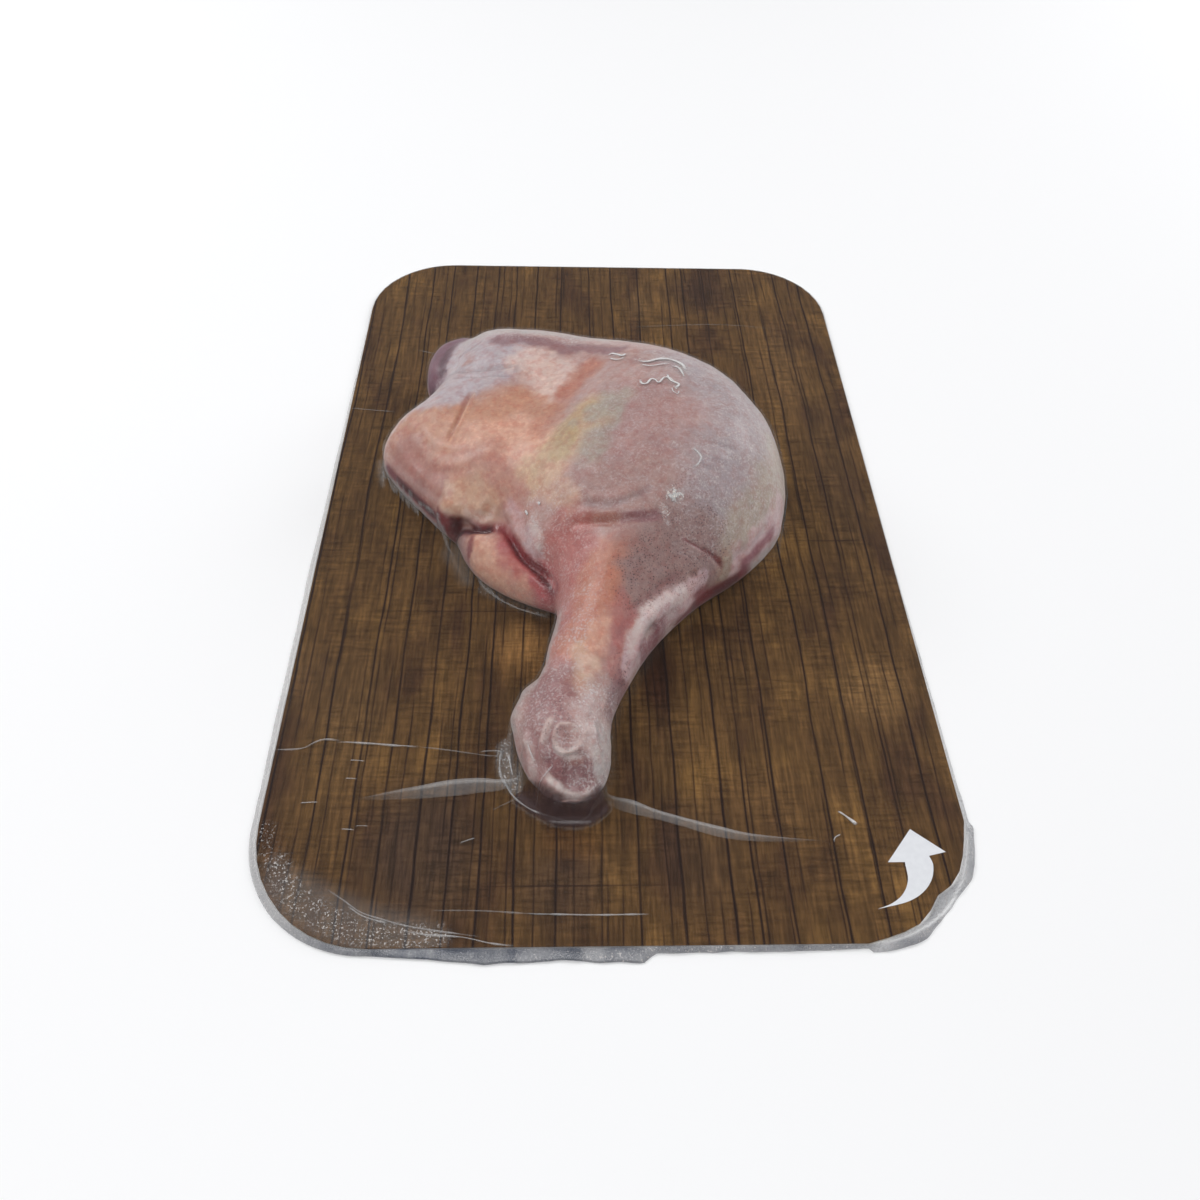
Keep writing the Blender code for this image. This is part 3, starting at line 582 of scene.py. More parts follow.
        (1.1, 1.9, [(-45, -8.8), (-40.7, -11.8), (-36.6, -13.6), (-31.6, -14)]),
        (0.7, 1.0, [(-21, -21.6), (-19.6, -25.6), (-17, -29.6)]),
        (-0.35, 0.6, [(-22.6, -19.6), (-21.4, -24)]),
        (1.1, 1.3, [(22, -40), (15, -45.4), (9.8, -50.2), (6.2, -54.6), (4.6, -59.2), (3.0, -64)]),
        (-0.6, 0.9, [(17, -40.0), (12.6, -43.8), (7.8, -48.8), (4.2, -52.6), (2.2, -56.6), (1.0, -60.5)]),
        (-1.7, 0.8, [(10.8, -51.6), (9.4, -53.8), (8.5, -55.6)]),
        (-0.3, 0.7, [(12, -8), (16, -13), (22, -17), (28, -18)]),
        (-0.25, 0.7, [(14, -2), (20, -8), (27, -11), (33, -11)]),
        (0.2, 0.8, [(13, -5), (18, -10.6), (25, -14), (31, -14.6)]),
        (0.9, 1.2, [(46.4, -15), (45.4, -17.8), (42.5, -22.5), (38.6, -27.3), (34, -31)]),
        (-0.5, 0.7, [(42, -20.5), (38.8, -25.2), (35.4, -28.4), (31, -31.8)]),
        (-0.6, 0.45, [(18, -33.0), (20.9, -33.3), (23.8, -33.5), (26.6, -33.5), (29.4, -33.2)]),
        (-0.35, 0.45, [(19.3, -39.2), (21.9, -37.6)]),
        (0.9, 0.42, folds["ankleRing"]),
        (-0.6, 1.2, [(-12, -85.6), (-9.6, -85.8)]),
        (0.7, 0.75, [(-14.2, -80.8), (-15.7, -83.6), (-16.6, -86.4), (-15.6, -89)]),
        (-0.6, 0.7, [(-13.4, -81.2), (-14.8, -84), (-15.2, -87)]),
        (-0.9, 0.7, [(-12.4, -89.4), (-8.9, -89.2), (-6.6, -88.8)]),
        (-1.7, 2.4, [(-12.2, -91), (-9, -91.5), (-6.2, -91.7)]),
        (1.5, 1.1, [(-16.8, -90.8), (-14.8, -93), (-11.8, -94.5), (-8.6, -94.9), (-5.5, -94.3),
                    (-3.4, -92.6)]),
        (0.5, 0.7, [(-20.8, -81), (-19.4, -86.6), (-18.8, -91)]),
        (-0.45, 0.7, [(-19.2, -80.5), (-18, -86.4), (-17.6, -90)]),
        (0.4, 0.7, [(-5.8, -79), (-4.6, -84), (-3.4, -89)]),
        (-0.3, 0.6, [(-7.2, -80), (-6, -85), (-5, -88)]),
    ],
    # side walls pushed out or in: distance, half width, path
    "walls": [
        (2.4, 3.4, [(-62.4, 11), (-57.8, 4.9), (-51.5, -3.2), (-46.4, -8.6), (-42.6, -12.6)]),
        (1.4, 3.0, [(-22.0, -68), (-23.0, -71), (-23.0, -74)]),
        (-1.2, 3.0, [(-18, -61), (-19, -64.5)]),
        (2.1, 4.2, [(-54, 45), (-53.5, 51), (-50, 57), (-45, 60.5)]),
    ],
    # ice, feather dots and wet places: strength, full reach, soft edge, path
    "frost": [
        (0.6, 8, 14, [(26, 30), (38, 12), (40, -8), (30, -24)]),
        (0.3, 9, 9, [(8, 6), (6, -10), (2, -20)]),
        (0.6, 3, 5, [(-40, 54), (-20, 49), (0, 45), (16, 40)]),
        (0.95, 4, 6, [(-4, -76), (-3, -84), (-6, -90)]),
        (0.6, 5, 5, [(-10, -50), (-14, -62), (-18, -74), (-14, -84)]),
        (0.5, 1.4, 1.8, [(20.6, -41.4), (13.2, -47.4), (8, -52.4), (4.6, -60)]),
        (0.5, 3, 4, [(-64, 14), (-58, 22), (-48, 36)]),
        (0.35, 4, 5, [(-18, -22), (-12, -32), (-9, -42)]),
        (0.7, 0.8, 1.6, [(-20.3, -22.6), (-19.2, -26), (-16, -30.4)]),
        (0.95, 0.7, 1.0, [(14.4, -24.4), (16.4, -24)]),
        (0.9, 0.4, 0.8, [(12.8, -28.3), (14, -31)]),
        (0.8, 0.3, 0.7, [(15, -11.9), (16, -12)]),
        (0.7, 0.3, 0.7, [(12.2, -18), (12.8, -18)]),
    ],
    # bare red places that the ice leaves free
    "bare": [
        (0.9, 1.8, 1.6, [(38, -27.6), (35, -30.3), (29, -34.9), (23.2, -39.4), (20.2, -42.2)]),
        (0.7, 0.4, 1.2, [(37, -28.6), (40.2, -25), (42.9, -21.6)]),
    ],
    "dots": [
        (1.0, 4.2, 4.8, [(5, -46), (9, -41), (15, -37), (21, -33.4), (25, -29.6)]),
        (0.5, 3, 5, [(12, -34), (20, -24)]),
        (0.9, 1.2, 2.0, [(2.2, -64), (0.4, -70), (-1.2, -76)]),
        (0.6, 3.0, 4.0, [(-18, -72), (-14, -79), (-12, -86)]),
        (0.8, 1.6, 2.0, [(-12.4, -90.4), (-6.4, -91.4)]),
    ],
    "wet": [
        (0.9, 1.2, 1.6, [(-60, 7), (-50, -5), (-39, -17), (-28, -20), (-20, -31), (-15, -38)]),
        (0.8, 1.6, 2, [(-13, -91), (-6, -91.5)]),
        (0.6, 0.8, 1.0, [(-12, -27), (0, -30.6), (13, -30)]),
    ],
}


def shapeLeg(settings):
    # the solid's copy as an even fine mesh, without its facets
    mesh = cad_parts["duck_leg"].data.copy()
    mesh.materials.clear()
    rough = addObject("raw_leg", mesh)
    bm = bmesh.new()
    bm.from_mesh(mesh)
    bmesh.ops.remove_doubles(bm, verts=bm.verts, dist=0.01 * mm)
    bm.to_mesh(mesh)
    bm.free()
    remesh = rough.modifiers.new("even mesh", "REMESH")
    remesh.mode = "VOXEL"
    remesh.voxel_size = settings["voxel"]
    fine = bpy.data.meshes.new_from_object(rough.evaluated_get(bpy.context.evaluated_depsgraph_get()))
    rough.modifiers.clear()
    rough.data = fine
    bpy.data.meshes.remove(mesh)
    bm = bmesh.new()
    bm.from_mesh(fine)
    axes = {"use_axis_x": True, "use_axis_y": True, "use_axis_z": True}
    for _ in range(settings["smoothing"]):
        bmesh.ops.smooth_vert(bm, verts=bm.verts, factor=0.5, **axes)
    bmesh.ops.triangulate(bm, faces=bm.faces)
    bm.to_mesh(fine)
    bm.free()
    fine.shade_smooth()
    print("leg mesh:", len(fine.vertices), "points,", len(fine.polygons), "triangles")
    return rough


def sculptLeg(mesh, settings):
    points = readPoints(mesh) / mm
    normals = readNormals(mesh)
    upper = blendIn(normals[:, 2], -0.35, 0.25)
    size, reach = settings["pathWander"]
    plan = points[:, :2] + np.column_stack([softNoise(points, size, 11), softNoise(points, size, 12)]) * reach
    move = np.zeros(len(points))
    for height, width, path in settings["relief"]:
        close, gap, share = nearPath(plan, path, width * 3)
        ends = blendIn(np.minimum(share, 1 - share), -0.02, 0.18)
        move[close] += height * np.exp(-(gap / width) ** 2) * ends
    upright = 1 - blendIn(np.abs(normals[:, 2]), 0.45, 0.9)
    spread = np.zeros(len(points))
    for distance, width, path in settings["walls"]:
        close, gap, _ = nearPath(plan, path, width * 2.5)
        spread[close] += distance * np.exp(-(gap / width) ** 2) * upright[close]
    for i, (size, height) in enumerate(settings["lumps"]):
        move += softNoise(points, size, 20 + i) * height
    (broad, tall), (fine, low) = settings["ankleLumps"]
    rough = blendIn(-points[:, 1], *settings["ankleFade"])
    move += (softNoise(points, broad, 34) * tall + softNoise(points, fine, 33) * low) * rough
    # long fine wrinkles across the middle
    ripples = settings["ripples"]
    x, y = ripples["centre"]
    middle = blendIn(-np.hypot(points[:, 0] - x, points[:, 1] - y) / ripples["radius"], -1.3, -0.5)
    move += softNoise(points * ripples["grain"], 1.0, 31) * middle * ripples["height"]
    points += normals * (move * upper + spread)[:, None]
    writePoints(mesh, points * mm)


def edgeDrift(points, broad, middle, fine):
    # how far the edges of the patches drift, from three sizes of noise with these seeds
    drift = softNoise(points, 6, broad) + 0.5 * softNoise(points, 2.2, middle)
    return drift + 0.25 * softNoise(points, 0.9, fine)


def paintLeg(mesh, settings):
    points = readPoints(mesh) / mm
    warp = settings["warp"]
    shift = np.column_stack([edgeDrift(points, 41, 42, 45), edgeDrift(points, 43, 44, 46)])
    colours = np.tile(linear(tones["mauve"]), (len(points), 1))
    for tone, strength, reach, soft, path, *heights in settings["patches"]:
        loose = min(1.0, (reach + soft) / 5)    # thin lines drift less
        close, gap, share = nearPath(points[:, :2] + shift * warp * loose, path, reach + soft)
        amount = strength * blendIn(-gap, -(reach + soft), -reach)
        if reach < 1:    # and fade at their ends
            amount *= blendIn(np.minimum(share, 1 - share), -0.03, 0.12)
        if heights:
            low, high = heights
            level = points[close, 2]
            amount *= blendIn(-level, -high - 1.2, -high + 1.2) * blendIn(level, low - 0.8, low + 0.8)
        colours[close] += (linear(tones[tone]) - colours[close]) * amount[:, None]
    # uneven tint over everything
    cast, warm = 1, 0
    for i, (size, strength) in enumerate(settings["castTints"]):
        cast = cast + strength * softNoise(points, size, 51 + i)
    for i, (size, strength) in enumerate(settings["warmTints"]):
        warm = warm + strength * softNoise(points, size, 54 + i)
    colours *= np.column_stack([cast + warm, cast, cast - warm])
    writeColour(mesh, "fleshColour", colours)
    plan = points[:, :2] + shift * 0.8
    least = settings["leastFrost"]
    frost = least + strokesMask(plan, settings["frost"]) * (1 - least)
    writeAttribute(mesh, "frost", frost * (1 - strokesMask(plan, settings["bare"])))
    writeAttribute(mesh, "dots", strokesMask(plan, settings["dots"]))
    writeAttribute(mesh, "wet", strokesMask(plan, settings["wet"]))


def makeLegMaterial(settings):
    material, tree, shader, where = newMaterial(
        "duck_skin_raw", Specular_IOR_Level=0.45, Subsurface_Weight=0.12, Subsurface_Scale=0.002,
        Subsurface_Radius=(1.0, 0.45, 0.3), Coat_Roughness=settings["coatRoughness"],
        Sheen_Weight=0.12, Sheen_Roughness=0.4)
    shader["Coat Weight"].default_value = settings["coat"]
    flesh = addNode(tree, "ShaderNodeVertexColor", layer_name="fleshColour").outputs["Color"]
    frost, dots, wet = [attributeNode(tree, name) for name in ("frost", "dots", "wet")]
    veins = stretchedNoise(tree, where, (420, 420, 420), 4.0, 0.65)
    redder = mixColour(tree, 1.0, flesh, settings["redTint"], "MULTIPLY")
    mottled = mixColour(tree, rampTo(tree, veins, 0.42, 0.66, 0.0, 0.75), flesh, redder)
    curds = stretchedNoise(tree, where, (780, 780, 780), 3.0, 0.6)
    paler = mixColour(tree, 1.0, mottled, settings["paleTint"], "MULTIPLY")
    mottled = mixColour(tree, rampTo(tree, curds, 0.48, 0.68), mottled, paler)
    dotted = useGroup(tree, featherDots, {"Vector": where, "Color": mottled, "Amount": dots,
                                          "Dot Color": rgba(settings["dotTone"])})
    iced = useGroup(tree, frostSpecks, {"Vector": where, "Color": dotted["Color"], "Amount": frost,
                                        "Frost Color": rgba(settings["frostTone"])})
    tree.links.new(iced["Color"], shader["Base Color"])
    dull = mathNode(tree, "MULTIPLY_ADD", iced["Height"], 0.25, settings["roughness"])
    tree.links.new(mathNode(tree, "MULTIPLY_ADD", wet, settings["wetGloss"], dull), shader["Roughness"])
    pores = stretchedNoise(tree, where, (900, 900, 900), 3.0, 0.6)
    height = mathNode(tree, "ADD", mathNode(tree, "MULTIPLY", pores, 0.6), iced["Height"])
    height = mathNode(tree, "MULTIPLY_ADD", dotted["Height"], 0.5, height)
    connectBump(tree, shader["Normal"], height, *settings["bump"])
    return material


leg = shapeLeg(legSettings)
sculptLeg(leg.data, legSettings)
paintLeg(leg.data, legSettings)
leg.data.materials.append(makeLegMaterial(legSettings))
finishPiece(leg, "duck_skin", "duck_leg")
print("leg shaped and painted")


# the card

cardSettings = {
    "slatWidth": 8.4 * mm,
    "thinSlatWidth": 3.3 * mm,
    "darkWood": (68, 46, 30),
    "midWood": (88, 63, 36),
    "goldWood": (120, 88, 48),
    "seamColour": (30, 17, 16),
    "paper": (206, 200, 190),
    "fibre": (0.4, 0.37, 0.33, 1),
    "sway": 3.4 * mm,          # slow and quick sideways bends of the slats
    "quiver": 0.6 * mm,
    "printDepth": (0.12 * mm, 0.04 * mm),    # below the card's top, where paper turns into print
    "roughness": 0.62,
    "coat": 0.03,
    # soft places that are darker or more golden, and painted shadow and painted glow beside the leg: tone,
    # centre, size, strength (mm)
    "zones": [
        ((56, 42, 38), (-43, -104), (18, 26), 0.7),
        ((60, 45, 38), (-12, -112), (14, 14), 0.5),
        ((58, 42, 36), (18, -104), (14, 20), 0.4),
        ((56, 38, 30), (34, 108), (26, 14), 0.5),
        ((58, 42, 32), (70, 20), (10, 50), 0.3),
        ((118, 88, 54), (66, -62), (14, 14), 0.7),
        ((112, 84, 52), (14, 102), (6, 14), 0.5),
        ((94, 68, 40), (-60, 70), (16, 30), 0.6),
        ((106, 78, 48), (60, 66), (12, 30), 0.6),
        ((94, 70, 44), (-64, -70), (13, 30), 0.45),
        ((100, 72, 44), (34, -92), (18, 12), 0.35),
        # painted glow: warm light on the card left of the neck
        ((122, 86, 48), (-22, -52), (12, 12), 0.5),
        ((104, 70, 34), (-10, -102), (12, 6), 0.4),
        # painted glow, stronger, in the same place
        ((140, 102, 60), (-24, -48), (9, 10), 0.7),
        # painted shadow on the card: right of the shank, and under the leg's lower right rim
        ((44, 22, 14), (12, -56), (7, 18), 0.7),
        ((50, 30, 20), (24, -44), (10, 6), 0.6),
    ],
    # short cross joints between slats: centre and half length, and their half width (mm)
    "joints": [((-36, -37), 24), ((65, -11.4), 15), ((-10, -112), 30)],
    "jointWidth": 0.35,
}


def makeCardMaterial(settings):
    material, tree, shader, where = newMaterial(
        "printed_card_wood", Specular_IOR_Level=0.12, Coat_Roughness=0.1, Roughness=settings["roughness"])
    shader["Coat Weight"].default_value = settings["coat"]
    axes = addNode(tree, "ShaderNodeSeparateXYZ", {"Vector": where}).outputs
    # slats wander sideways along their length
    sway = stretchedNoise(tree, where, (34, 13, 1), 2.0)
    quiver = stretchedNoise(tree, where, (90, 75, 1), 2.0)
    across = mathNode(tree, "MULTIPLY_ADD", sway, settings["sway"], axes["X"])
    across = mathNode(tree, "MULTIPLY_ADD", quiver, settings["quiver"], across)
    wide = useGroup(tree, slatSeams, {"Across": across, "Slat Width": settings["slatWidth"],
                                      "Line Share": 0.06})
    thin = useGroup(tree, slatSeams, {"Across": across, "Slat Width": settings["thinSlatWidth"],
                                      "Line Share": 0.12, "Unevenness": 1.0})
    dark, mid, gold = [rgba(settings[name]) for name in ("darkWood", "midWood", "goldWood")]
    seam = rgba(settings["seamColour"])
    # wood colour from blotches, slats, streaks and cross lines
    blotches = stretchedNoise(tree, where, (60, 30, 1), 3.0, 0.6)
    slat = mathNode(tree, "MULTIPLY_ADD", wide["Shade"], 0.12, blotches)
    slat = mathNode(tree, "MULTIPLY_ADD", thin["Shade"], 0.07, slat)
    wood = mixColour(tree, rampTo(tree, slat, 0.40, 0.62), dark, mid)
    wood = mixColour(tree, rampTo(tree, slat, 0.62, 0.90), wood, gold)
    # soft places, with the painted shadow and painted glow beside the leg among them
    for tone, (x, y), (width, length), strength in settings["zones"]:
        spot = useGroup(tree, softSpot, {"Vector": where, "Centre": (x * mm, y * mm, cardTop),
                                         "Size": (width * mm, length * mm, 1.0)})["Mask"]
        wood = mixColour(tree, mathNode(tree, "MULTIPLY", spot, strength), wood, rgba(tone))
    streaks = stretchedNoise(tree, where, (820, 60, 1), 3.0, 0.7)
    fine = stretchedNoise(tree, where, (1900, 260, 1), 2.0, 0.6)
    cross = stretchedNoise(tree, where, (110, 820, 1), 3.0, 0.7)
    patchy = stretchedNoise(tree, where, (60, 60, 1), 2.0)
    light = rampTo(tree, streaks, 0.30, 0.72, 0.66, 1.34)
    light = mathNode(tree, "MULTIPLY", light, rampTo(tree, fine, 0.25, 0.75, 0.84, 1.16))
    crossing = mathNode(tree, "MULTIPLY", mathNode(tree, "SUBTRACT", cross, 0.5),
                        rampTo(tree, patchy, 0.35, 0.62, 0.7, 2.2))
    light = mathNode(tree, "MULTIPLY", light, mathNode(tree, "ADD", crossing, 1.0))
    shade = addNode(tree, "ShaderNodeCombineColor", {"Red": light, "Green": light, "Blue": light}).outputs[0]
    wood = mixColour(tree, 1.0, wood, shade, "MULTIPLY")
    # seams, some strong and some faint
    strength = rampTo(tree, stretchedNoise(tree, where, (120, 16, 1), 2.0), 0.3, 0.5, 0.55, 1.0)
    faint = rampTo(tree, stretchedNoise(tree, where, (300, 30, 1), 2.0), 0.40, 0.60, 0.05, 0.75)
    wood = mixColour(tree, mathNode(tree, "MULTIPLY", thin["Line"], faint), wood, seam)
    wood = mixColour(tree, mathNode(tree, "MULTIPLY", wide["Line"], strength), wood, seam)
    for (x, y), half in settings["joints"]:
        bar = useGroup(tree, softSpot, {"Vector": where, "Centre": (x * mm, y * mm, cardTop),
                                        "Size": (half * mm, settings["jointWidth"] * mm, 1.0)})["Mask"]
        wood = mixColour(tree, mathNode(tree, "MULTIPLY", bar, 0.6), wood, seam)
    # white core at the cut edge and underneath
    fibres = stretchedNoise(tree, where, (700, 700, 2500), 2.0)
    paper = mixColour(tree, rampTo(tree, fibres, 0.3, 0.7, 0.0, 0.25), rgba(settings["paper"]),
                      settings["fibre"])
    deep, shallow = settings["printDepth"]
    printed = rampTo(tree, axes["Z"], cardTop - deep, cardTop - shallow)
    tree.links.new(mixColour(tree, printed, paper, wood), shader["Base Color"])
    ripples = stretchedNoise(tree, where, (160, 160, 160), 3.0)
    connectBump(tree, shader["Normal"], ripples, 0.25 * mm, 0.25)
    return material


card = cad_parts["backing_card"]
card.data.materials.clear()
card.data.materials.append(makeCardMaterial(cardSettings))
print("card printed")


# the arrow printed at the grip corner

arrowSettings = {
    "thickness": 0.03 * mm,
    "lift": 0.01 * mm,
    "tone": (226, 228, 232),
    "grainTone": (0.45, 0.45, 0.5, 1),
    # head, then down the right side of the stem, its pointed tail, and up the left side (mm)
    "head": [(64.1, -107.2), (60.3, -107.2), (67.0, -99.4), (73.9, -104.9), (69.9, -105.8)],
    "right": [(69.9, -105.8), (70.3, -108.0), (69.2, -111.2), (66.6, -114.1), (62.6, -116.2), (55.9, -117.7)],
    "left": [(55.9, -117.7), (59.4, -116.4), (62.2, -114.3), (63.9, -111.2), (64.1, -107.2)],
}


def makeArrow(settings):
    rim = settings["head"][:-1] + [tuple(p) for p in curveThrough(settings["right"])]
    rim += [tuple(p) for p in curveThrough(settings["left"])[1:-1]]
    level = cardTop + settings["lift"]
    bm = bmesh.new()
    corners = [bm.verts.new((x * mm, y * mm, level)) for x, y in rim]
    # this extrude makes the sides in the same order each run, and the underside is closed after it
    top = bmesh.ops.extrude_discrete_faces(bm, faces=[bm.faces.new(corners)])["faces"][0]
    bmesh.ops.translate(bm, verts=top.verts, vec=(0, 0, settings["thickness"]))
    bm.faces.new(corners)
    bmesh.ops.triangulate(bm, faces=bm.faces)
    mesh = meshFrom(bm, "open_arrow")
    mesh.shade_flat()
    material, tree, shader, where = newMaterial(
        "arrow_white_ink", Roughness=0.4, Coat_Weight=0.25, Coat_Roughness=0.18)
    grain = stretchedNoise(tree, where, (800, 800, 800), 2.0)
    ink = mixColour(tree, rampTo(tree, grain, 0.3, 0.7, 0.0, 0.12), rgba(settings["tone"]),
                    settings["grainTone"])
    tree.links.new(ink, shader["Base Color"])
    mesh.materials.append(material)
    return addObject("open_arrow", mesh)


arrow = makeArrow(arrowSettings)
finishPiece(arrow, "printed_card")
print("arrow made")


# the film

filmSettings = {
    "coarse": 1.4,             # grid spacing over the bare card and over the leg (mm)
    "fine": 0.8,
    "fineX": (-71, 57),
    "fineY": (-101, 68),
    "rest": 1.14,              # height over the bare card (mm)
    "mapStep": 0.5,            # the height map of the leg: its spacing, margin and start above the leg
    "mapMargin": 9,
    "mapStart": 80,
    "bridge": 1.5,             # radius of the hollows that the film spans, and beside the bone (mm)
    "endBridge": 2.1,
    "endSpan": (76, 84),
    "clearance": 0.25,
    "thickness": 0.06,
    "clearness": 0.003,
    "slant": 0.07,
    "tone": (224, 222, 221),
    "shadeTone": (78, 84, 98),
    "darkTintTone": (88, 70, 71),
    "darkTintCover": 8.0,         # how soon the dark tint hides the film's own tone
    "glintTone": (236, 224, 212),
    # milky places and painted glints: haze, sparkle, full reach, soft edge, path
    "clouds": [
        (0.045, 0.0, 2.5, 5.5, [(-72, -113), (-62, -118), (-52, -122), (-42, -124.5)]),
        (0.03, 0.45, 1.4, 2.2, [(-74.5, -107), (-69, -114), (-62, -118.6), (-55, -121.4), (-46, -122.8),
                                (-38, -123.2)]),
        (0.0, 0.5, 0.6, 1.2, [(-78.2, -98), (-76.8, -103)]),
        (0.035, 0.0, 0.3, 3.8, [(-43.6, -17), (-42, -19.4), (-40, -22.4), (-38.2, -26)]),
        (0.03, 0.1, 0.3, 1.2, [(-34, -30), (-28, -34), (-21, -37.4), (-16, -39.4)]),
        (0.05, 0.2, 0.3, 2.4, [(-66.6, 19), (-66.0, 14.5), (-64.4, 10.6)]),
        (0.07, 0.4, 1.0, 1.8, [(-25.6, -78), (-25.4, -84), (-23.0, -88)]),
        (0.04, 0.95, 0.9, 1.4, [(14.6, -24.8), (16.4, -24.8)]),
        (0.02, 0.6, 0.5, 1.2, [(8.2, 25.7), (12.3, 24.2), (16.9, 24.8), (20, 21), (20.6, 16)]),
        (0.02, 0.6, 0.4, 1.0, [(8.6, 12.4), (12.4, 12.8), (16.2, 13.4), (17.6, 9)]),
        (0.02, 0.5, 0.4, 1.0, [(1, 31), (4.4, 28.8)]),
        (0.0, 0.7, 0.5, 0.8, [(12.8, -28.3), (13.8, -30.6)]),
    ],
    # a dark tint on the film in the pocket in front of the bone end: strength, full reach, soft edge, path
    "darkTint": [
        (0.46, 0.7, 1.3, [(-21.6, -91.4), (-18.2, -93.8), (-14.4, -96.0), (-10.2, -96.9), (-6.2, -96.5),
                          (-2.8, -94.0)]),
    ],
    # where the film has come away from the card: height, full reach, soft edge, path
    "bubbles": [
        (0.45, 3.5, 3.5, [(-73, -109), (-68, -114), (-60, -118.5), (-48, -121), (-38, -122)]),
    ],
}


def gridLines(low, high, fineLow, fineHigh, coarse, fine):
    # line positions that are closer together between fineLow and fineHigh
    parts = [(low, fineLow, coarse), (fineLow, fineHigh, fine), (fineHigh, high, coarse)]
    lines = []
    for start, end, gap in parts:
        count = max(1, round((end - start) / gap))
        lines += list(np.linspace(start, end, count, endpoint=False))
    return np.array(lines + [high])


def layGrid(bm, places):
    # a sheet of faces through rows of places; returns the row and the column of each new vertex
    rows, columns = places.shape[:2]
    made = bmesh.ops.create_grid(bm, x_segments=columns - 1, y_segments=rows - 1, size=1)["verts"]
    order = []
    for v in made:
        row = round((v.co.y + 1) / 2 * (rows - 1))
        column = round((v.co.x + 1) / 2 * (columns - 1))
        v.co = places[row, column]
        order.append((row, column))
    return tuple(np.array(order).T)


def rollBall(heights, step, radius, lift):
    # the surface that a ball's centre follows over (lift) or under the height map
    reach = int(radius / step)
    padded = np.pad(heights, reach, mode="edge")
    rows, columns = heights.shape
    best = heights + (radius if lift else -radius)
    for i in range(-reach, reach + 1):
        for j in range(-reach, reach + 1):
            drop = radius ** 2 - (i * i + j * j) * step * step
            if drop < 0:
                continue
            part = padded[reach + i:reach + i + rows, reach + j:reach + j + columns]
            if lift:
                best = np.maximum(best, part + math.sqrt(drop))
            else:
                best = np.minimum(best, part - math.sqrt(drop))
    return best


def mapLeg(mesh, settings):
    # height of the film over the leg, as a grid in plan
    points = readPoints(mesh)
    polygons = np.empty(len(mesh.polygons) * 3, np.int32)
    mesh.polygons.foreach_get("vertices", polygons)
    tree = BVHTree.FromPolygons(points.tolist(), polygons.reshape(-1, 3).tolist(), all_triangles=True)
    step = settings["mapStep"]
    margin = settings["mapMargin"]
    low = points.min(0)[:2] / mm - margin
    high = points.max(0)[:2] / mm + margin
    across = np.arange(low[0], high[0], step)
    along = np.arange(low[1], high[1], step)
    heights = np.full((len(along), len(across)), settings["rest"] - settings["clearance"])
    down = Vector((0, 0, -1))
    for i, y in enumerate(along):
        for j, x in enumerate(across):
            spot = tree.ray_cast(Vector((x * mm, y * mm, settings["mapStart"] * mm)), down)[0]
            if spot:
                heights[i, j] = max(heights[i, j], spot.z / mm)
    tight, wide = [rollBall(rollBall(heights, step, ball + settings["clearance"], True), step, ball, False)
                   for ball in (settings["bridge"], settings["endBridge"])]
    nearEnd = blendIn(-along, *settings["endSpan"])[:, None]
    return across, along, tight + (wide - tight) * nearEnd


def readMap(legMap, plan):
    across, along, heights = legMap
    step = across[1] - across[0]
    at = np.column_stack([(plan[:, 0] - across[0]) / step, (plan[:, 1] - along[0]) / step])
    limit = np.array([len(across) - 2, len(along) - 2])
    inside = np.all((at > 0) & (at < limit), axis=1)
    at = np.clip(at, 0, limit - 0.001)
    cell = at.astype(int)
    part = at - cell
    column, row = cell.T
    near = heights[row, column] * (1 - part[:, 0]) + heights[row, column + 1] * part[:, 0]
    far = heights[row + 1, column] * (1 - part[:, 0]) + heights[row + 1, column + 1] * part[:, 0]
    return np.where(inside, near * (1 - part[:, 1]) + far * part[:, 1], heights.min())


# the film's free edge round the card

rimSettings = {
    "corner": 27.5,            # radius of the card's corners (mm)
    "grip": (52.5, -97.5),     # middle of the opening corner's round
    "trim": 1.4,               # how far that corner of the card is trimmed, and its dent
    "dent": (46, 14, 1.8),
    "reach": 29.3,             # the film's edge at that corner: round reach and straight chord
    "chord": 27.9,
    "spacing": 0.9,
    "across": 7,
    "droop": 0.75,
    # going round the card: place, overhang (mm), haze, share of shade, crinkle
    "stations": [
        ((80, 60), 0.5, 0.35, 0.45, 0.5),
        ((76, 112), 0.8, 0.35, 0.4, 0.5),
        ((0, 125), 0.7, 0.3, 0.5, 0.4),
        ((-60, 122), 0.8, 0.35, 0.4, 0.4),
        ((-80, 90), 0.6, 0.45, 0.2, 0.6),
        ((-80, 40), 1.0, 0.5, 0.12, 0.3),
        ((-80, 0), 1.5, 0.5, 0.12, 0.2),
        ((-80, -50), 1.9, 0.5, 0.12, 0.3),
        ((-79, -95), 1.9, 0.5, 0.22, 0.4),
        ((-73, -112), 1.8, 0.5, 0.35, 0.6),
        ((-52, -124), 1.3, 0.6, 0.85, 0.2),
        ((-40, -125), 2.0, 0.75, 0.95, 0.2),
        ((-28, -125), 3.4, 0.7, 0.85, 0.4),
        ((-12, -125), 2.8, 0.7, 0.8, 0.8),
        ((5, -125), 3.0, 0.7, 0.8, 1.0),
        ((7.5, -125), 1.4, 0.6, 0.75, 1.0),
        ((32, -125), 1.3, 0.5, 0.7, 1.0),
        ((52, -125), 0.8, 0.45, 0.7, 1.0),
        ((63, -122), 1.6, 0.45, 0.7, 1.0),
        ((78, -108), 1.6, 0.4, 0.65, 1.0),
        ((80, -80), 1.0, 0.3, 0.5, 0.6),
        ((80, -20), 0.5, 0.3, 0.5, 0.4),
    ],
}


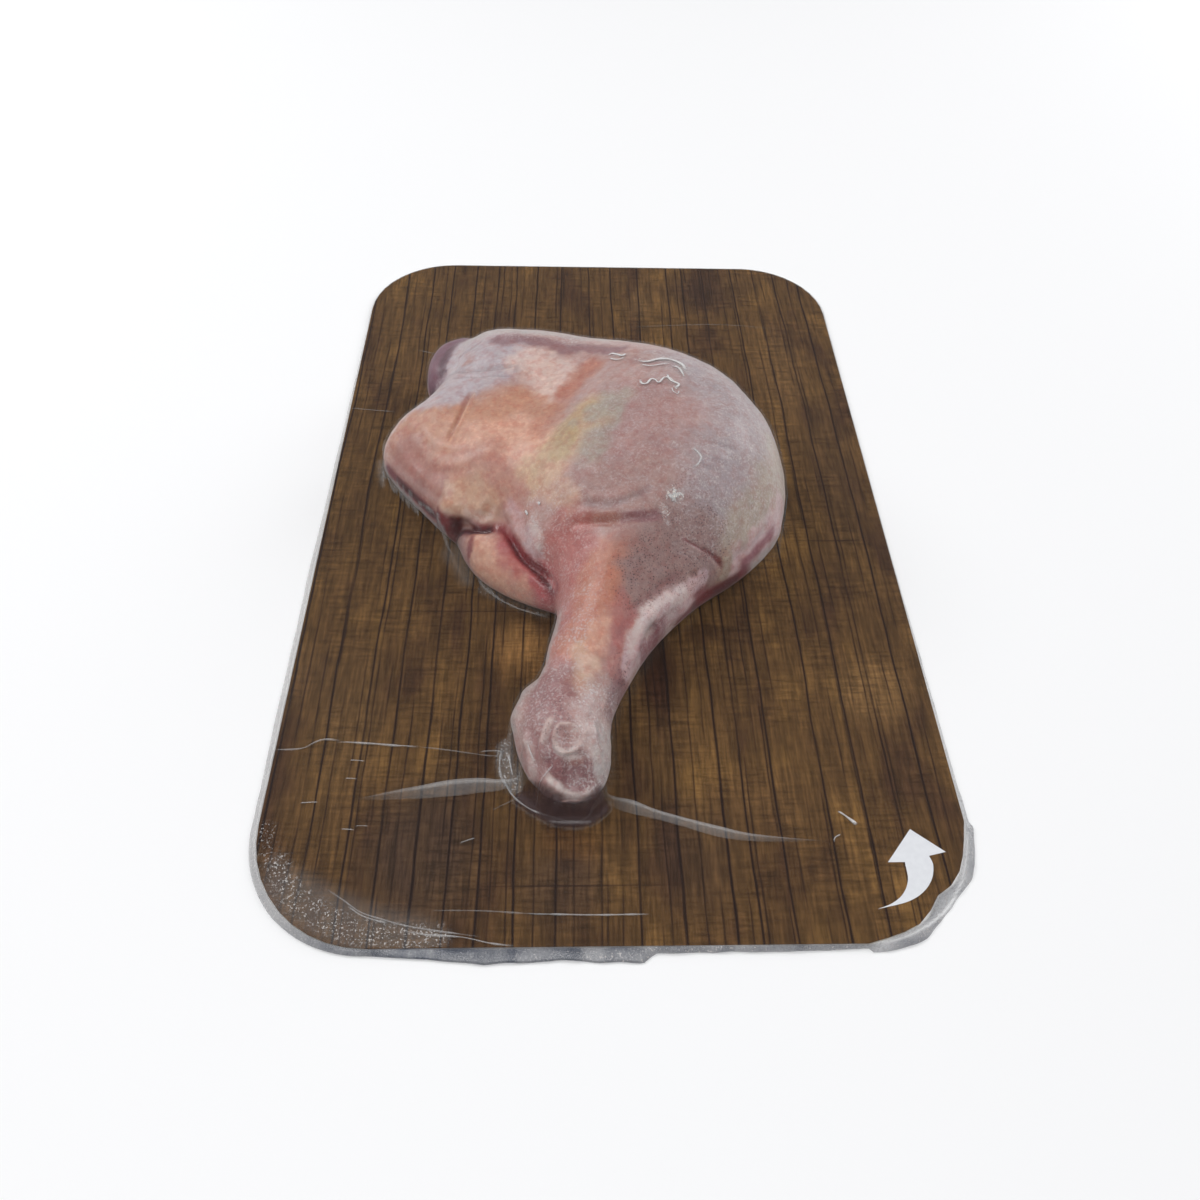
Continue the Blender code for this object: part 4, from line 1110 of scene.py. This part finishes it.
def cardOutline(spacing, corner):
    # evenly spaced places on the card's round outline, and the direction away from the card at each
    low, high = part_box("backing_card")
    halfWidth = (high.x - low.x) / 2 / mm - corner
    halfLength = (high.y - low.y) / 2 / mm - corner
    places, ways = [], []
    turns = np.linspace(0, math.pi / 2, round(corner * math.pi / 2 / spacing), endpoint=False)
    for quarter, (x, y) in enumerate([(1, 1), (-1, 1), (-1, -1), (1, -1)]):
        centre = np.array([x * halfWidth, y * halfLength])
        angle = turns + quarter * math.pi / 2
        way = np.column_stack([np.cos(angle), np.sin(angle)])
        run = 2 * (halfWidth if quarter % 2 == 0 else halfLength)
        last = np.array([math.cos((quarter + 1) * math.pi / 2), math.sin((quarter + 1) * math.pi / 2)])
        ahead = np.array([-last[1], last[0]])
        steps = np.arange(0, run, spacing)[:, None]
        places += [centre + way * corner, centre + last * corner + ahead * steps]
        ways += [way, np.tile(last, (len(steps), 1))]
    return np.concatenate(places), np.concatenate(ways)


def rimGaps(plan, settings):
    # where the card's edge and the film's edge lie, as distances outside the card's round outline
    away = plan - np.array(settings["grip"])
    turn = np.arctan2(-away[:, 1], away[:, 0])
    inGrip = (away[:, 0] > 0) & (away[:, 1] < 0)
    middle, width, depth = settings["dent"]
    dent = np.clip(1 - np.abs(np.degrees(turn) - middle) / width, 0, 1)
    dent = dent * dent * (3 - 2 * dent)
    trim = settings["trim"] * np.sqrt(np.clip(np.sin(2 * turn), 0, 1)) + depth * dent
    stations = settings["stations"]
    around = [math.atan2(y, x) for (x, y), *_ in stations]
    values = np.array([station[1:] for station in stations])
    angle = np.arctan2(plan[:, 1], plan[:, 0])
    overhang, hazeAndHighlight, shade, crinkle = [np.interp(angle, around, row, period=2 * math.pi) for row in values.T]
    place = np.column_stack([plan, np.zeros(len(plan))])
    overhang = overhang * (1 + 0.18 * softNoise(place, 22, 61) + 0.10 * crinkle * softNoise(place, 4, 62))
    chord = settings["chord"] / np.maximum(np.cos(turn - math.pi / 4), 0.2)
    grip = np.minimum(settings["reach"], chord) - settings["corner"]
    outer = np.where(inGrip, np.maximum(grip + 0.2 * softNoise(place, 3, 63), 0.2), overhang)
    return np.where(inGrip, -trim, 0.0), outer, hazeAndHighlight, shade, crinkle


def nearestOnOutline(plan, outline, ways):
    # the nearest outline place for each plan place, and the signed distance outside the outline
    chosen = np.empty(len(plan), int)
    for start in range(0, len(plan), 4000):
        part = plan[start:start + 4000]
        chosen[start:start + 4000] = ((part[:, None] - outline[None]) ** 2).sum(2).argmin(1)
    return chosen, ((plan - outline[chosen]) * ways[chosen]).sum(1)


def makeFilm(settings, rim, legMap):
    low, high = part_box("backing_card")
    xLines = gridLines(low.x / mm, high.x / mm, *settings["fineX"], settings["coarse"], settings["fine"])
    yLines = gridLines(low.y / mm, high.y / mm, *settings["fineY"], settings["coarse"], settings["fine"])
    bm = bmesh.new()
    flat = np.zeros((len(yLines), len(xLines), 3))
    flat[:, :, 0] = xLines
    flat[:, :, 1] = yLines[:, None]
    layGrid(bm, flat)
    # trim to the card's edge, then draw the new border onto it
    outline, ways = cardOutline(rim["spacing"], rim["corner"])
    edge = rimGaps(outline, rim)[0]
    centres = np.array([f.calc_center_median().to_2d() for f in bm.faces])
    chosen, gap = nearestOnOutline(centres, outline, ways)
    faces = list(bm.faces)
    bmesh.ops.delete(bm, geom=[faces[i] for i in np.flatnonzero(gap > edge[chosen])], context="FACES")
    border = [v for v in bm.verts if v.is_boundary]
    places = np.array([v.co.to_2d() for v in border])
    chosen, gap = nearestOnOutline(places, outline, ways)
    for v, way, pull in zip(border, ways[chosen], edge[chosen] - gap):
        v.co.x += way[0] * pull
        v.co.y += way[1] * pull
    mesh = meshFrom(bm, "clear_film")
    plan = readPoints(mesh)[:, :2]
    place = np.column_stack([plan, np.zeros(len(plan))])
    # highest leg within a cell, so that nothing pokes through
    around = [(0, 0), (0.5, 0), (-0.5, 0), (0, 0.5), (0, -0.5)]
    level = np.max([readMap(legMap, plan + offset) for offset in around], axis=0)
    level = np.maximum(level, settings["rest"])
    loose = 1 - blendIn(level, settings["rest"] + 0.3, settings["rest"] + 2.0)
    level += loose * np.abs(softNoise(place, 14, 77)) * 0.10
    for height, reach, soft, path in settings["bubbles"]:
        close, away, _ = nearPath(plan, path, reach + soft)
        ridge = 0.55 + 0.45 * softNoise(place[close], 2.6, 74) + 0.35 * softNoise(place[close], 1.2, 75)
        level[close] += blendIn(-away, -(reach + soft), -reach) * height * np.clip(ridge, 0, 2)
    writePoints(mesh, np.column_stack([plan, level]) * mm)
    clouds = settings["clouds"]
    writeAttribute(mesh, "hazeAndHighlight", strokesMask(plan, [(hazeAndHighlight, *stroke) for hazeAndHighlight, _, *stroke in clouds]))
    writeAttribute(mesh, "sparkle", strokesMask(plan, [(sparkle, *stroke) for _, sparkle, *stroke in clouds]))
    writeAttribute(mesh, "darkTint", strokesMask(plan, settings["darkTint"]))
    writeAttribute(mesh, "shade", np.zeros(len(plan)))
    return addObject("clear_film", mesh)


def makeFilmRim(settings, rest):
    outline, ways = cardOutline(settings["spacing"], settings["corner"])
    inner, outer, hazeAndHighlight, shade, crinkle = rimGaps(outline, settings)
    # the first place again at the end closes the ring
    ring = np.append(np.arange(len(outline)), 0)
    shares = np.linspace(0, 1, settings["across"])
    gaps = inner[ring] + (outer - inner)[ring] * shares[:, None]
    places = np.zeros((*gaps.shape, 3))
    places[:, :, :2] = outline[ring] + ways[ring] * gaps[:, :, None]
    flat = places.reshape(-1, 3)
    wave = (softNoise(flat, 3.2, 71) * 0.24 + softNoise(flat, 1.4, 72) * 0.12).reshape(gaps.shape)
    fall = shares[:, None] ** 1.5
    places[:, :, 2] = rest - settings["droop"] * fall + wave * crinkle[ring] * fall ** 0.5
    bm = bmesh.new()
    order = layGrid(bm, places * mm)
    mesh = meshFrom(bm, "film_rim")
    uneven = 1 + 0.25 * softNoise(flat, 5, 73).reshape(gaps.shape)
    body = blendIn(gaps, -0.05, 0.35) * uneven
    body = np.maximum(body, (shares[:, None] > 0.1) * blendIn(-gaps, 0.2, 0.6) * 0.8)
    writeAttribute(mesh, "hazeAndHighlight", (hazeAndHighlight[ring] * body)[order])
    writeAttribute(mesh, "sparkle", (0.35 * crinkle[ring] * body)[order])
    writeAttribute(mesh, "darkTint", np.zeros(len(mesh.vertices)))
    writeAttribute(mesh, "shade", (shade[ring] * (1 + 0.3 * wave * 4))[order])
    return addObject("film_rim", mesh)


def makeFilmMaterial(settings):
    material, tree, shader, where = newMaterial("clear_film", Roughness=0.14, IOR=1.5, Specular_IOR_Level=0.5)
    hazeAndHighlight, sparkle, darkTint, shade = [
        attributeNode(tree, name) for name in ("hazeAndHighlight", "sparkle", "darkTint", "shade")]
    crackle = stretchedNoise(tree, where, (1900, 1900, 1900), 3.0, 0.7)
    glint = rampTo(tree, crackle, 0.56, 0.66)
    facing = addNode(tree, "ShaderNodeLayerWeight", {"Blend": 0.35}).outputs["Facing"]
    slant = mathNode(tree, "MULTIPLY", mathNode(tree, "POWER", facing, 2.5), settings["slant"])
    # pale film: milky haze, and on the leg's crease strips the painted highlights; sparkle adds painted
    # glints
    paleAmount = mathNode(tree, "MULTIPLY", hazeAndHighlight, rampTo(tree, crackle, 0.3, 0.7, 0.8, 1.1))
    sparks = mathNode(tree, "MULTIPLY", glint, sparkle)
    base = mathNode(tree, "ADD", slant, settings["clearness"])
    paleTotal = mathNode(tree, "ADD", paleAmount, sparks)
    dark = mathNode(tree, "ADD", darkTint, base)
    tree.links.new(mathNode(tree, "ADD", paleTotal, dark, clamp=True), shader["Alpha"])
    colour = mixColour(tree, shade, rgba(settings["tone"]), rgba(settings["shadeTone"]))
    colour = mixColour(tree, sparks, colour, rgba(settings["glintTone"]))
    tintShare = mathNode(tree, "MULTIPLY", darkTint, settings["darkTintCover"], clamp=True)
    colour = mixColour(tree, tintShare, colour, rgba(settings["darkTintTone"]))
    tree.links.new(colour, shader["Base Color"])
    connectBump(tree, shader["Normal"], crackle, 0.12 * mm, 0.4)
    return material


def thicken(piece, thickness, offset):
    wall = piece.modifiers.new("film thickness", "SOLIDIFY")
    wall.thickness = thickness
    wall.offset = offset


legMap = mapLeg(leg.data, filmSettings)
print("leg height map:", legMap[2].shape)
filmMaterial = makeFilmMaterial(filmSettings)
film = makeFilm(filmSettings, rimSettings, legMap)
film.data.materials.append(filmMaterial)
thicken(film, filmSettings["thickness"] * mm, 1.0)
finishPiece(film, "clear_film", "skin_film")
filmRim = makeFilmRim(rimSettings, filmSettings["rest"])
filmRim.data.materials.append(filmMaterial)
thicken(filmRim, filmSettings["thickness"] * mm, 1.0)
finishPiece(filmRim, "clear_film")
print("film laid:", len(film.data.polygons), "faces")


# creases of the film, and its folded webs beside the bone

creaseSettings = {
    "spacing": 0.45,
    "fades": (0.15, 0.15),     # share of the length over which each end fades
    "columns": 5,
    "lift": 0.10,
    "thickness": 0.05,
    # haze, which on the leg's strips is the strength of a painted highlight, half width, height (mm), path
    "lines": [
        # on the bare card
        (0.20, 0.30, 0.3, [(-80, -78.4), (-77, -78.5), (-73.3, -78.1), (-71.2, -76.7), (-68.9, -75.8),
                           (-65, -76)]),
        (0.30, 0.30, 0.3, [(-66, -76.4), (-58.4, -76.9), (-51.7, -77.5), (-46.4, -77.8)]),
        (0.10, 0.25, 0.2, [(-46.4, -77.8), (-38.4, -78.9), (-30.4, -80.2), (-26.4, -80.4)]),
        (0.16, 0.30, 0.3, [(-26.2, -79.4), (-27.8, -79.0), (-31.7, -79.2)]),
        (0.35, 0.20, 0.2, [(-62.0, -81.3), (-58.5, -81.6)]),
        (0.25, 0.20, 0.2, [(-62.5, -86.0), (-59.7, -86.2)]),
        (0.30, 0.20, 0.2, [(-61.5, -98.6), (-58.6, -98.8)]),
        (0.30, 0.20, 0.2, [(-71.7, -92.2), (-67.7, -92.0)]),
        (0.25, 0.20, 0.2, [(-58.5, -97.9), (-55.6, -97.9)]),
        (0.20, 0.20, 0.2, [(-34.8, -102.1), (-31.5, -100.9)]),
        (0.10, 0.18, 0.2, [(-28, -94.2), (-24.5, -92.4), (-21.5, -90.8)]),
        (0.10, 0.25, 0.2, [(-40, -117.2), (-29.0, -117.4), (-18.8, -118.1), (-12.5, -118.3)]),
        (0.28, 0.25, 0.2, [(-18.8, -118.1), (-12.5, -118.3), (-4.0, -118.5), (6.7, -118.4)]),
        (0.12, 0.22, 0.2, [(-80, 44), (-73.7, 43.1), (-65.8, 42.3)]),
        (0.08, 0.25, 0.1, [(-62, 74), (-50, 70), (-36, 66)]),
        (0.06, 0.25, 0.1, [(10, 88), (40, 90), (62, 88)]),
        (0.75, 0.42, 0.4, [(51.2, -94.9), (53.0, -96.5), (55.0, -98.3)]),
        (0.35, 0.22, 0.2, [(50.9, -100.6), (49.4, -101.4), (49.0, -102.4)]),
        # the loose patch at the front left corner
        (0.20, 0.28, 0.3, [(-62.5, -112.4), (-59.2, -114.4), (-54.7, -117.4), (-50.3, -118.9),
                           (-44.9, -120.4), (-38.1, -121.6), (-29.1, -122.8)]),
        (0.30, 0.30, 0.3, [(-57.5, -116.0), (-54.6, -118.0), (-51.3, -119.2), (-48.4, -119.8)]),
        (0.30, 0.30, 0.3, [(-45.9, -121.3), (-40.6, -122.3), (-33, -122.9), (-27, -124.2), (-22, -124.8)]),
        # on the leg: bright squiggles, painted highlights where the film lifts off the skin, and a small star
        # of frost
        (0.95, 0.5, 0.15, [(0.3, 31.3), (1.4, 31.8), (2.6, 30.6), (4.2, 28.9), (5.4, 30.2)]),
        (0.8, 0.34, 0.15, [(0.6, 29.4), (1.8, 27.6), (3.4, 26.9), (5.0, 27.8)]),
        (0.95, 0.6, 0.2, [(8.2, 25.7), (10.4, 24.1), (12.3, 24.4), (14.6, 25.2), (16.9, 24.8),
                          (19.4, 22.9), (20.7, 20.4), (20.9, 17.7)]),
        (0.8, 0.34, 0.15, [(8.9, 22.8), (11.5, 21.0), (13.8, 21.4), (17.1, 22.2)]),
        (0.8, 0.36, 0.15, [(17.6, 20.7), (19.4, 18.8), (20.3, 14.4)]),
        (0.95, 0.5, 0.15, [(8.4, 14.2), (8.7, 12), (10, 11.6), (11.3, 13.6), (12.4, 13.1), (13.3, 11.7),
                           (14.9, 14.2), (16.4, 13.6), (17.9, 11.2)]),
        (0.95, 0.5, 0.15, [(15.8, 16.0), (16.4, 12.8), (18.6, 10.7), (17.3, 9.0)]),
        (0.8, 0.32, 0.15, [(16.6, 9.3), (16.8, 7.4), (17.9, 6.2), (18.4, 7.8)]),
        (0.5, 0.30, 0.15, [(20.3, -13.2), (21.5, -14.0), (22.5, -15.5), (21.7, -17.1), (20.6, -18.2)]),
        (0.6, 0.5, 0.12, [(13.6, -24.7), (14.9, -25.5), (16.9, -24.5), (17.9, -25.4)]),
        (0.6, 0.5, 0.12, [(15.6, -23.4), (15.2, -26.6)]),
        (0.7, 0.30, 0.12, [(-18.7, -19.4), (-18.2, -20.4)]),
        (0.7, 0.34, 0.12, [(-22.2, -19.2), (-21.4, -20.9)]),
        # where it leaves the leg
        (0.16, 0.28, 0.15, [(-66.5, 16), (-63.0, 8.1), (-59.0, 2.6), (-55.3, -1.9), (-51.3, -6.4),
                            (-47.8, -10.4), (-44.6, -14.9), (-42.4, -18)]),
        (0.14, 0.24, 0.2, [(-36.4, -26), (-33.2, -30.2), (-28.3, -34.2), (-22.8, -37.2), (-15.9, -39.8)]),
        (0.28, 0.30, 0.2, [(-26.2, -86.3), (-23.7, -90.4), (-21.5, -92.6), (-18.8, -94.4), (-15.6, -95.8),
                           (-12.6, -96.8), (-9.9, -97.2), (-7.4, -96.8), (-5.2, -95.4), (-3.7, -93.5),
                           (-2.5, -91.5)]),
        (0.28, 0.22, 0.2, [(-18.7, -93.6), (-15.8, -91.5), (-13.9, -90.1)]),
        (0.35, 0.25, 0.2, [(-19.9, -84.7), (-18.8, -87.6), (-18.1, -88.7)]),
        (0.40, 0.35, 0.2, [(-25.0, -79.9), (-24.2, -83.6), (-23.8, -85.4)]),
        (0.22, 0.50, 0.2, [(-26.4, -78.5), (-26.9, -82), (-26.2, -86.2), (-23.8, -89.6)]),
    ],
}

webSettings = {
    "spacing": 0.6,
    "fades": (0.15, 0.45),
    "lift": 0.16,
    "height": 0.9,
    "thickness": 0.07,
    # across the web, from its foot to its free edge
    "hazesAndHighlights": (0.05, 0.06, 0.065, 0.07, 0.085, 0.22, 0.18),
    "webs": {
        "film_web_left": (
            [(-20.6, -85.6), (-23.7, -88.2), (-26.8, -89.4), (-31.0, -89.9), (-35.8, -90.6), (-40.6, -91.0),
             (-45.0, -91.3), (-53.3, -91.5), (-59.0, -91.5)],
            [(-19.4, -83.4), (-22.4, -86.3), (-26.3, -87.0), (-31.2, -86.6), (-37.6, -87.0), (-44.0, -88.2),
             (-50.3, -89.3), (-54.4, -90.2), (-59.1, -91.2)]),
        "film_web_right": (
            [(-1.9, -92.1), (0.0, -94.0), (3.9, -95.4), (9.8, -96.9), (15.6, -98.7), (22.2, -100.9),
             (27.1, -101.8), (31.9, -102.2), (38, -102.3), (46.6, -102.2)],
            [(-3.4, -90.0), (-0.4, -91.1), (4.1, -92.4), (8.9, -94.6), (15.7, -96.8), (22.5, -98.7),
             (29.2, -100.4), (36.9, -101.3), (44.2, -101.9), (48, -102.0)]),
    },
}


def resample(path, count):
    line = curveThrough(path)
    lengths = np.concatenate([[0], np.cumsum(np.hypot(*np.diff(line, axis=0).T))])
    marks = np.linspace(0, lengths[-1], count)
    return np.column_stack([np.interp(marks, lengths, line[:, 0]), np.interp(marks, lengths, line[:, 1])])


def pathLength(path):
    return np.hypot(*np.diff(curveThrough(path), axis=0).T).sum()


def layStrip(bm, first, second, rises, hazesAndHighlights, fades):
    # a strip over the film between two lines; returns the haze and highlight strength of its vertices
    shares = np.linspace(0, 1, len(hazesAndHighlights))[:, None, None]
    plan = first + (second - first) * shares
    ground = np.maximum(readMap(legMap, plan.reshape(-1, 2)), filmSettings["rest"]).reshape(plan.shape[:2])
    start, end = fades
    count = len(first)
    swing = np.clip(np.linspace(0, 1, count) / start, 0, 1) * np.clip(np.linspace(1, 0, count) / end, 0, 1)
    heights = ground + np.array(rises)[:, None] * swing
    order = layGrid(bm, np.dstack([plan, heights]) * mm)
    return (np.array(hazesAndHighlights)[:, None] * swing)[order]


def stripObject(bm, hazesAndHighlights, name, thickness):
    mesh = meshFrom(bm, name)
    writeAttribute(mesh, "hazeAndHighlight", hazesAndHighlights)
    for other in ("sparkle", "darkTint", "shade"):
        writeAttribute(mesh, other, np.zeros(len(hazesAndHighlights)))
    mesh.materials.append(filmMaterial)
    strip = addObject(name, mesh)
    thicken(strip, thickness * mm, 0.0)
    finishPiece(strip, "clear_film")


def makeCreases(settings):
    bm = bmesh.new()
    hazesAndHighlights = []
    spread = np.linspace(-1, 1, settings["columns"])
    for hazeAndHighlight, width, height, path in settings["lines"]:
        line = resample(path, max(6, round(pathLength(path) / settings["spacing"])))
        way = np.gradient(line, axis=0)
        side = np.column_stack([-way[:, 1], way[:, 0]]) / np.hypot(*way.T)[:, None]
        wobble = 0.75 + 0.5 * softNoise(np.column_stack([line, line[:, :1]]), 2.5, 83)[:, None]
        profile = 1 - spread ** 2
        hazesAndHighlights.append(layStrip(bm, line - side * width * wobble, line + side * width * wobble,
                              settings["lift"] + height * profile, hazeAndHighlight * (0.15 + 0.85 * profile),
                              settings["fades"]))
    stripObject(bm, np.concatenate(hazesAndHighlights), "film_creases", settings["thickness"])


def makeWeb(name, foot, edge, settings):
    count = round(pathLength(edge) / settings["spacing"])
    bm = bmesh.new()
    rises = settings["lift"] + settings["height"] * np.linspace(0, 1, len(settings["hazesAndHighlights"])) ** 1.5
    hazesAndHighlights = layStrip(bm, resample(foot, count), resample(edge, count), rises, settings["hazesAndHighlights"],
                     settings["fades"])
    stripObject(bm, hazesAndHighlights, name, settings["thickness"])


makeCreases(creaseSettings)
for webName, (foot, edge) in webSettings["webs"].items():
    makeWeb(webName, foot, edge, webSettings)
print("film creases and webs made")


# floor, lights and camera

floorSettings = {
    "size": 3.0,
    "colour": (0.93, 0.93, 0.935, 1),
    "roughness": 0.8,
}

viewSettings = {
    "place": (-0.01068, -0.189345, 0.199204),
    "turn": -3.058,
    "tilt": 38.286,
    "roll": 2.503,
    "lens": 28.166,
    "sensor": 36.0,
}

lightSettings = {
    "world": 0.38,
    "worldColour": (0.97, 0.98, 1.0, 1),
    # name: place, size and power of each soft light
    "lamps": {
        "window_left": ((-0.75, 0.45, 0.75), 0.7, 6.0),
        "window_right": ((0.9, 0.5, 0.5), 0.6, 5.0),
        "fill_front": ((-0.1, -0.55, 0.9), 0.6, 3.6),
    },
}


def makeFloor(settings):
    bm = bmesh.new()
    bmesh.ops.create_grid(bm, x_segments=2, y_segments=2, size=settings["size"])
    floor = addObject("floor", meshFrom(bm, "floor"))
    material = newMaterial("floor_pale", Base_Color=settings["colour"], Roughness=settings["roughness"],
                           Specular_IOR_Level=0.2)[0]
    floor.data.materials.append(material)


def makeLights(settings):
    world = bpy.data.worlds.new("soft_room")
    world.use_nodes = True
    back = world.node_tree.nodes["Background"].inputs
    back["Color"].default_value = settings["worldColour"]
    back["Strength"].default_value = settings["world"]
    bpy.context.scene.world = world
    for name, (place, size, power) in settings["lamps"].items():
        lamp = bpy.data.lights.new(name, "AREA")
        lamp.size = size
        lamp.energy = power
        thing = bpy.data.objects.new(name, lamp)
        thing.location = place
        thing.rotation_euler = (-Vector(place)).to_track_quat("-Z", "Y").to_euler()
        bpy.context.scene.collection.objects.link(thing)


def makeCamera(settings):
    data = bpy.data.cameras.new("pack_camera")
    data.sensor_width = settings["sensor"]
    data.lens = settings["lens"]
    data.clip_start = 0.01
    camera = bpy.data.objects.new("pack_camera", data)
    turn = Matrix.Rotation(math.radians(settings["turn"]), 4, "Z")
    tilt = Matrix.Rotation(math.radians(settings["tilt"]), 4, "X")
    roll = Matrix.Rotation(math.radians(settings["roll"]), 4, "Z")
    camera.matrix_world = Matrix.Translation(settings["place"]) @ turn @ tilt @ roll
    bpy.context.scene.collection.objects.link(camera)
    bpy.context.scene.camera = camera


makeFloor(floorSettings)
makeLights(lightSettings)
makeCamera(viewSettings)
bpy.context.scene.view_settings.view_transform = "Standard"
print("floor, lights and camera placed")
